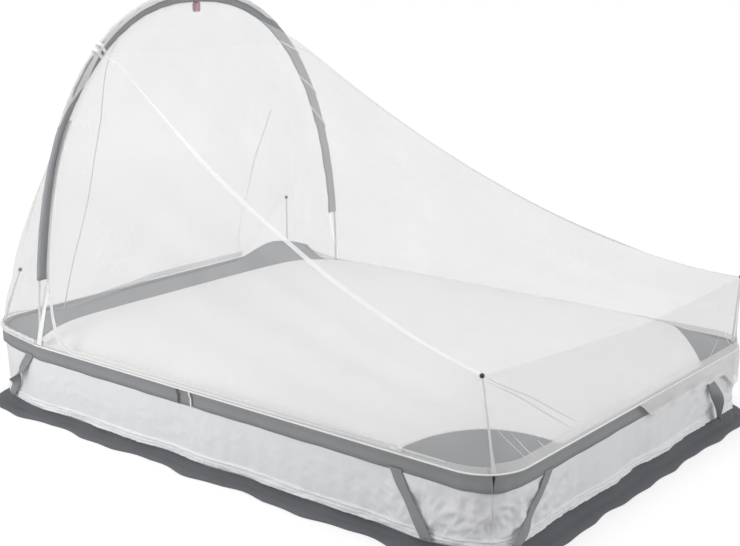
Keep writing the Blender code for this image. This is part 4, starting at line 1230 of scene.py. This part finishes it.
def tie_place(middle):
    """A tape round the band: down one face, round the inner edge, up the other and over the pole."""
    deep = arch_sleeve_depth + 0.0012
    half = [(tie_out * math.sin(math.pi * step / 8), -tie_out * math.cos(math.pi * step / 8)) for step in range(5)]
    half += [(tie_out * 0.45, deep * 0.5), (0.0028, deep - 0.002), (0.0, deep + 0.0004)]
    loop = half + [(-across, down) for across, down in reversed(half[:-1])]
    unit = (pole_spot(middle + 0.01) - pole_spot(middle - 0.01)).length / 0.02

    def place(u, v):
        across, down = loop[round(v * (len(loop) - 1))]
        slant = -tie_slope * (down - deep / 2) if middle > 0.5 else 0.0
        return beside_pole(middle + ((u - 0.5) * tie_width + slant) / unit, across, down)
    return place, len(loop) - 1


for name, (node, middles) in TIES.items():
    builder = bmesh.new()
    for middle in middles:
        place, steps = tie_place(middle)
        cloth_grid(builder, place, 4, steps)
    tie = thicken(finish_mesh(name, builder, tape_white), tape_thickness)
    flat = (tie_width * len(middles), tie_wrap)
    dress(tie, "white_tape", node, body="arch", flat=flat, held="stretched", rests_on=["arch_band"],
          area=min(flat_area(tie), flat[0] * flat[1]))


def cover_spot(u, v):
    """Net folded over the pole's outer side, from below the near shoulder to the far one."""
    share = cover_start + cover_reach * u
    wrap = (v - 0.5) * 2 * smooth((share - 0.185) / 0.075) * smooth((0.685 - share) / 0.05)
    out = arch_sleeve_half + cover_out + 0.0005 * math.sin(170 * share)
    low = (0.010 + 0.014 * math.exp(-((share - 0.268) / 0.03) ** 2)) * abs(wrap) ** 2
    return beside_pole(share, out * math.sin(wrap * 1.5), low - out * math.cos(wrap * 1.5), band_turn(share))


cover = cloth("arch_net_cover", cover_spot, 120, 12, net_seam)
dress(cover, "white_net", body="arch", flat=(0.05, 1.2), held="stretched", rests_on=["arch_band"],
      area=min(flat_area(cover), 0.059))

loop_width = 0.022
loop_half_depth = 0.008
loop_drop = 0.034
loop_radius = loop_half_depth - 0.0007
loop_axis = pole_spot(0.5) - Vector((0.0, 0.0, arch_sleeve_depth + 0.001 + loop_half_depth))


def loop_place(u, v):
    turn = 2 * math.pi * v
    down = (loop_drop - 2 * loop_half_depth) * (math.sin(turn) < -0.0001)
    across = loop_radius * math.cos(turn) * (1 - 0.25 * (math.sin(turn) < 0) * abs(math.sin(turn)))
    curl = 0.0008 * math.sin(math.pi * u)
    return loop_axis + Vector((across, (u - 0.5) * loop_width, loop_radius * math.sin(turn) - down + curl))


lantern = cloth("lantern_tape", loop_place, 8, 48, tape_red, 0.0014)
dress(lantern, "red_tape", "lantern_loop", body="lantern_loop", flat=(loop_width, 0.105), held="hung",
      rests_on=["arch_band"], area=min(flat_area(lantern), 0.0023))
print("ties and loop at", tuple(round(value, 3) for value in loop_axis))

# %% [markdown]
# The base sheet is a fitted white cloth that bulges like a made bed. It is cut off slantwise at the
# foot corners, where grey gussets are let in, and in a bow at the head, where a grey strip is. All of
# it is one crowned surface, so the pieces are cut from the same shape and meet at a narrow seam.

# %% Base sheet
sheet_inset = sleeve_half + 0.0014
sheet_thickness = 0.0016
edge_drop = 0.007
sheet_crown = 0.10
crown_power = 6
cosine_start = 0.12
gusset_leg = 0.32
strip_side = 0.235
strip_middle = 0.135
seam = 0.0006


def outline_x(y):
    """Half the length of the sheet at a place across it."""
    return around_corner(y, short_straight, long_straight, -sheet_inset)


def strip_x(y):
    """The seam between the white sheet and the head strip."""
    seam_x = strip_middle + (strip_side - strip_middle) * (y / half_width) ** 2 - half_length
    return max(seam_x, -outline_x(y) + 0.01)


def crowned(x, y):
    """The sheet's surface above a place, with soft creases that fade towards its edges."""
    start, end = strip_middle - half_length, half_length - sheet_inset
    along = max(1 - abs((2 * x - start - end) / (end - start)) ** crown_power, 0.0)
    across = max(1 - (abs(y) / (half_width - sheet_inset)) ** crown_power, 0.0)
    crease = 0.0030 * noise.noise(Vector((x * 3.1, y * 3.7, 0.3)))
    crease += 0.0012 * noise.noise(Vector((x * 11, y * 7, 4.0)))
    height = rod_z(x) + sleeve_half - edge_drop + (sheet_crown + crease) * along * across
    return Vector((x, y, height))


def sheet_y(v):
    return (half_width - sheet_inset) * math.sin((v - 0.5) * math.pi)


def white_place(u, v):
    """Rows from the head strip to the foot, spaced by a cosine so that they crowd at the foot's edge."""
    y = sheet_y(v)
    low, high = strip_x(y), outline_x(y)
    first = math.cos(math.pi * cosine_start)
    share = (first - math.cos(math.pi * (cosine_start + (1 - cosine_start) * u))) / (1 + first)
    return crowned(low + (high - low) * share, y)


def strip_place(u, v):
    y = sheet_y(v)
    low, high = -outline_x(y), strip_x(y) - seam
    spot = crowned(low + (high - low) * u, y)
    pucker = math.sin(math.pi * u) * (0.004 * noise.noise(Vector((0.0, y * 14, 2.0))) + 0.001)
    lifted = 0.020 * math.exp(-((y - 0.50) / 0.08) ** 2) * math.sin(math.pi * min(u * 1.15, 1.0))
    lifted += 0.044 * smooth((y - 0.38) / 0.26) * (1 - u) ** 1.6
    return spot + Vector((0.0, 0.0, pucker + lifted))


def cut_corners(builder, hand, keep_corner):
    """Cuts along the slanting seam of a foot gusset and keeps one side of it."""
    share = 0.5 ** 0.5
    normal = Vector((share, hand * share, 0.0))
    point = Vector((half_length - gusset_leg, hand * half_width, 0.0)) + normal * (seam if keep_corner else 0.0)
    geometry = builder.verts[:] + builder.edges[:] + builder.faces[:]
    bmesh.ops.bisect_plane(builder, geom=geometry, dist=0.00001, plane_co=point, plane_no=normal,
                           clear_outer=not keep_corner, clear_inner=keep_corner)


def cut_sheet(name, hands, keep_corner, material):
    builder = bmesh.new()
    cloth_grid(builder, white_place, 130, 110)
    for hand in hands:
        cut_corners(builder, hand, keep_corner)
    return finish_mesh(name, builder, material)


white_sheet = cut_sheet("white_bed_sheet", (-1, 1), False, sheet_white)
sheet_pieces = [(white_sheet, "base_sheet", "white_cloth", (2.0, 1.45))]
for hand, side in ((-1, "near"), (1, "far")):
    gusset = cut_sheet(side + "_grey_gusset", (hand,), True, band_grey)
    sheet_pieces.append((gusset, side + "_foot_gusset", "grey_band", (0.34, 0.34)))
head_cloth = cloth("head_grey_strip", strip_place, 16, 130, band_grey)
sheet_pieces.append((head_cloth, "head_strip", "grey_band", (1.45, 0.24)))
for item, node, slot, flat in sheet_pieces:
    area = flat_area(item)
    thicken(item, sheet_thickness)
    dress(item, slot, node, flat=flat, held="stretched",
          rests_on=["near_band", "foot_band", "far_band", "head_band"], area=area)
    print(item.name, round(area, 3), "m2 of", round(flat[0] * flat[1], 3))

# %% [markdown]
# White skirts hang from the bands almost to the floor. Along their lower edge the cloth is rolled
# over and puckered by its stitching, so it shows two or three small folds just above the dark hem.
# The dark hem turns outwards and lies on the floor, with an edge that comes to soft points.

# %% Skirts and hems
skirt_bottom = 0.032
near_drop = 0.014
skirt_lean = 0.006
skirt_ripple = 0.004
skirt_thickness = 0.0012
hem_thickness = 0.0016
hem_width = 0.062
plain_rows = 22
roll_rows = 24
roll_start = 0.78
rolled_from = 0.70
side_gap = 0.0003
ROLLS = ((0.86, 0.022, 0.0050), (0.915, 0.020, 0.0070), (0.965, 0.016, 0.0075))
SIDES = {
    "near": (CORNERS["near_head"] - perimeter, CORNERS["near_foot"], 420),
    "foot": (CORNERS["near_foot"], CORNERS["far_foot"], 300),
    "far": (CORNERS["far_foot"], CORNERS["far_head"], 340),
    "head": (CORNERS["far_head"], CORNERS["near_head"], 250),
}


def skirt_end(distance):
    """The height of the skirt's lower edge, which hangs lower along the near side."""
    from_middle = min(distance % perimeter, perimeter - distance % perimeter)
    return skirt_bottom - near_drop * smooth((1.02 - from_middle) / 0.25)


def skirt_spot(distance, drop, outward=0.0):
    """A point of the skirt; drop runs from 0 at the band to 1 at the hem."""
    turn = 2 * math.pi * distance / perimeter
    ripple = math.cos(18 * turn) + 0.5 * math.cos(26 * turn)
    gathers = 0.0011 * math.sin(97 * turn + 2 * math.sin(11 * turn)) * math.sin(math.pi * min(drop, 1.0))
    top = rail_spot(distance, up=-band_bottom - 0.0003)
    spot = top + rail_place(distance)[1] * (outward + gathers + (skirt_ripple * ripple - skirt_lean) * drop)
    spot.z = top.z + (skirt_end(distance) - top.z) * drop
    return spot


def crumpled(distance, drop):
    """Sharp little creases in the skirt, strongest round the foot corners, where spare cloth is pushed in."""
    near = min(abs(distance % perimeter - CORNERS[corner]) for corner in ("near_foot", "far_foot"))
    strength = 0.0014 + 0.0100 * smooth(1 - (near - 0.05) / 0.42)
    place = Vector((distance * 17 + drop * 2.0, drop * 2.6 - distance * 5, 1.7))
    creases = 0.5 - abs(noise.noise(place)) * 2.2 + 0.55 * (0.5 - abs(noise.noise(place * 2.3)) * 2)
    return strength * creases * math.sin(math.pi * min(max(drop, 0.0), 1.0)) ** 0.7


def hem_spot(distance, v):
    """A point of the dark hem, from the skirt's lower edge out along the floor."""
    wave = 0.006 * math.cos(32 * math.pi * distance / perimeter)
    point = abs(math.sin(2 * math.pi * 22 * distance / perimeter + 0.6)) ** 1.6
    reach = hem_width + wave - 0.006 * point
    out = reach * (0.16 * v + 0.84 * v * v) if v < 1 else reach
    flat = hem_thickness / 2 + 0.0003
    buckle = 0.0030 * max(noise.noise(Vector((distance * 9, v * 2.0, 7.0))) + 0.1, 0.0) * math.sin(math.pi * v)
    spot = skirt_spot(distance, 1.0) + rail_place(distance)[1] * out
    spot.z = flat + buckle + (skirt_end(distance) - 0.0012 - flat) * (1 - smooth(v / 0.62)) ** 1.3
    return spot


def rolled(distance, drop):
    """How far the rolled and puckered lower edge stands out: three folds that wander and fade."""
    out = 0.0
    for index, (middle, width, depth) in enumerate(ROLLS):
        wander = 0.018 * noise.noise(Vector((distance * 5.0, index * 3.0, 0.5)))
        swell = 1 + 0.7 * noise.noise(Vector((distance * 16.0, index * 5.0, 2.5)))
        swell += 0.35 * noise.noise(Vector((distance * 75.0, index * 7.0, 4.5)))
        out += depth * max(swell, 0.1) * math.exp(-((drop - middle - wander) / width) ** 2)
    return out * smooth((1.0 - drop) / 0.012)


for side, (start, end, columns) in SIDES.items():
    def place_along(u):
        return start + side_gap + (end - start - 2 * side_gap) * u

    def skirt_place(u, v):
        distance = place_along(u)
        row = round(v * (plain_rows + roll_rows))
        drop = roll_start * row / plain_rows
        if row > plain_rows:
            drop = roll_start + (1 - roll_start) * (row - plain_rows) / roll_rows
        out = crumpled(distance, drop) + (rolled(distance, drop) if drop > rolled_from else 0.0)
        return skirt_spot(distance, drop, out)

    def hem_place(u, v):
        return hem_spot(place_along(u), v)
    skirt = cloth(side + "_white_skirt", skirt_place, columns, plain_rows + roll_rows, skirt_white)
    dark = cloth(side + "_dark_hem", hem_place, columns, 14, hem_grey)
    for item, node, slot, thick, flat, hangs in (
            (skirt, side + "_skirt", "white_cloth", skirt_thickness, (0.20, end - start + 0.05), [side + "_band"]),
            (dark, side + "_hem", "dark_hem", hem_thickness, (0.10, end - start + 0.25), [skirt.name, "floor"])):
        area = flat_area(item)
        thicken(item, thick)
        dress(item, slot, node, flat=flat, held="hung" if item is skirt else "laid", rests_on=hangs, area=area)
        print(item.name, round(area, 3), "m2 of", round(flat[0] * flat[1], 3))

# %% [markdown]
# Eight grey straps run from the bands' lower edge slantwise over the skirts to the hem, two at each
# corner. They are cut from the same cloth as the bands. The one on the near side by the head has
# turned over once. On the foot side, the one by the near corner is twisted a little at its lower end,
# and the one by the far corner turns on its edge and past it on its way down.

# %% Straps
strap_width = 0.037
strap_thickness = 0.0014
strap_steps = 30
STRAP_REACHES = {
    "near_foot_strap_side": (0.276, 0.165), "near_foot_strap_end": (0.205, 0.044),
    "far_foot_strap_end": (0.250, 0.200), "far_foot_strap_side": (0.276, 0.165),
}
head_reach = (0.180, 0.066)
TWISTS = {"near_head_strap_side": (0.25, 0.55, math.pi), "near_foot_strap_end": (0.66, 0.30, 0.45),
          "far_foot_strap_end": (0.05, 0.85, 2.3)}


def strap_place(middle, top, bottom, twist):
    start, span, angle = twist

    def place(u, v):
        lap = 0.008 * (1 - v / 0.06) if v < 0.06 else 0.0
        narrow = 1 - 0.38 * smooth((v - start) / span) if 0 < angle < 1 else 1.0
        drop = max(v - 0.06, 0.0) / 0.94 * 0.945
        clear = 0.0030 + 0.0050 * smooth(drop / 0.2) + 0.0060 * smooth((drop - 0.45) / 0.5)
        turn = angle * smooth((v - start) / span)
        distance = middle + top + (bottom - top) * drop
        across = strap_width * (u - 0.5) * narrow
        middle_spot = skirt_spot(distance + across * math.cos(turn), drop, clear)
        outward = rail_place(distance)[1]
        spot = middle_spot + outward * (across * math.sin(turn) + strap_width / 2 * abs(math.sin(turn)))
        spot.z += lap - 0.10 * across * math.copysign(1.0, top - bottom) * math.sin(turn)
        return spot
    return place


for side, (start, end, columns) in SIDES.items():
    for middle, hand in ((start, 1), (end, -1)):
        corner = min(CORNERS, key=lambda name: abs(CORNERS[name] - middle % perimeter))
        node = f"{corner}_strap_{'side' if side in ('near', 'far') else 'end'}"
        top, bottom = STRAP_REACHES.get(node, head_reach)
        twist = TWISTS.get(node, (0.0, 1.0, 0.0))
        place = strap_place(middle, hand * top, hand * bottom, twist)
        strap = cloth(node + "_cloth", place, 8, strap_steps, band_grey)
        area = flat_area(strap)
        thicken(strap, strap_thickness)
        dress(strap, "grey_band", node, flat=(strap_width * 1.15, 0.22), held="hung", rests_on=[side + "_band"],
              area=area)
        print(strap.name, round(area, 4), "m2")
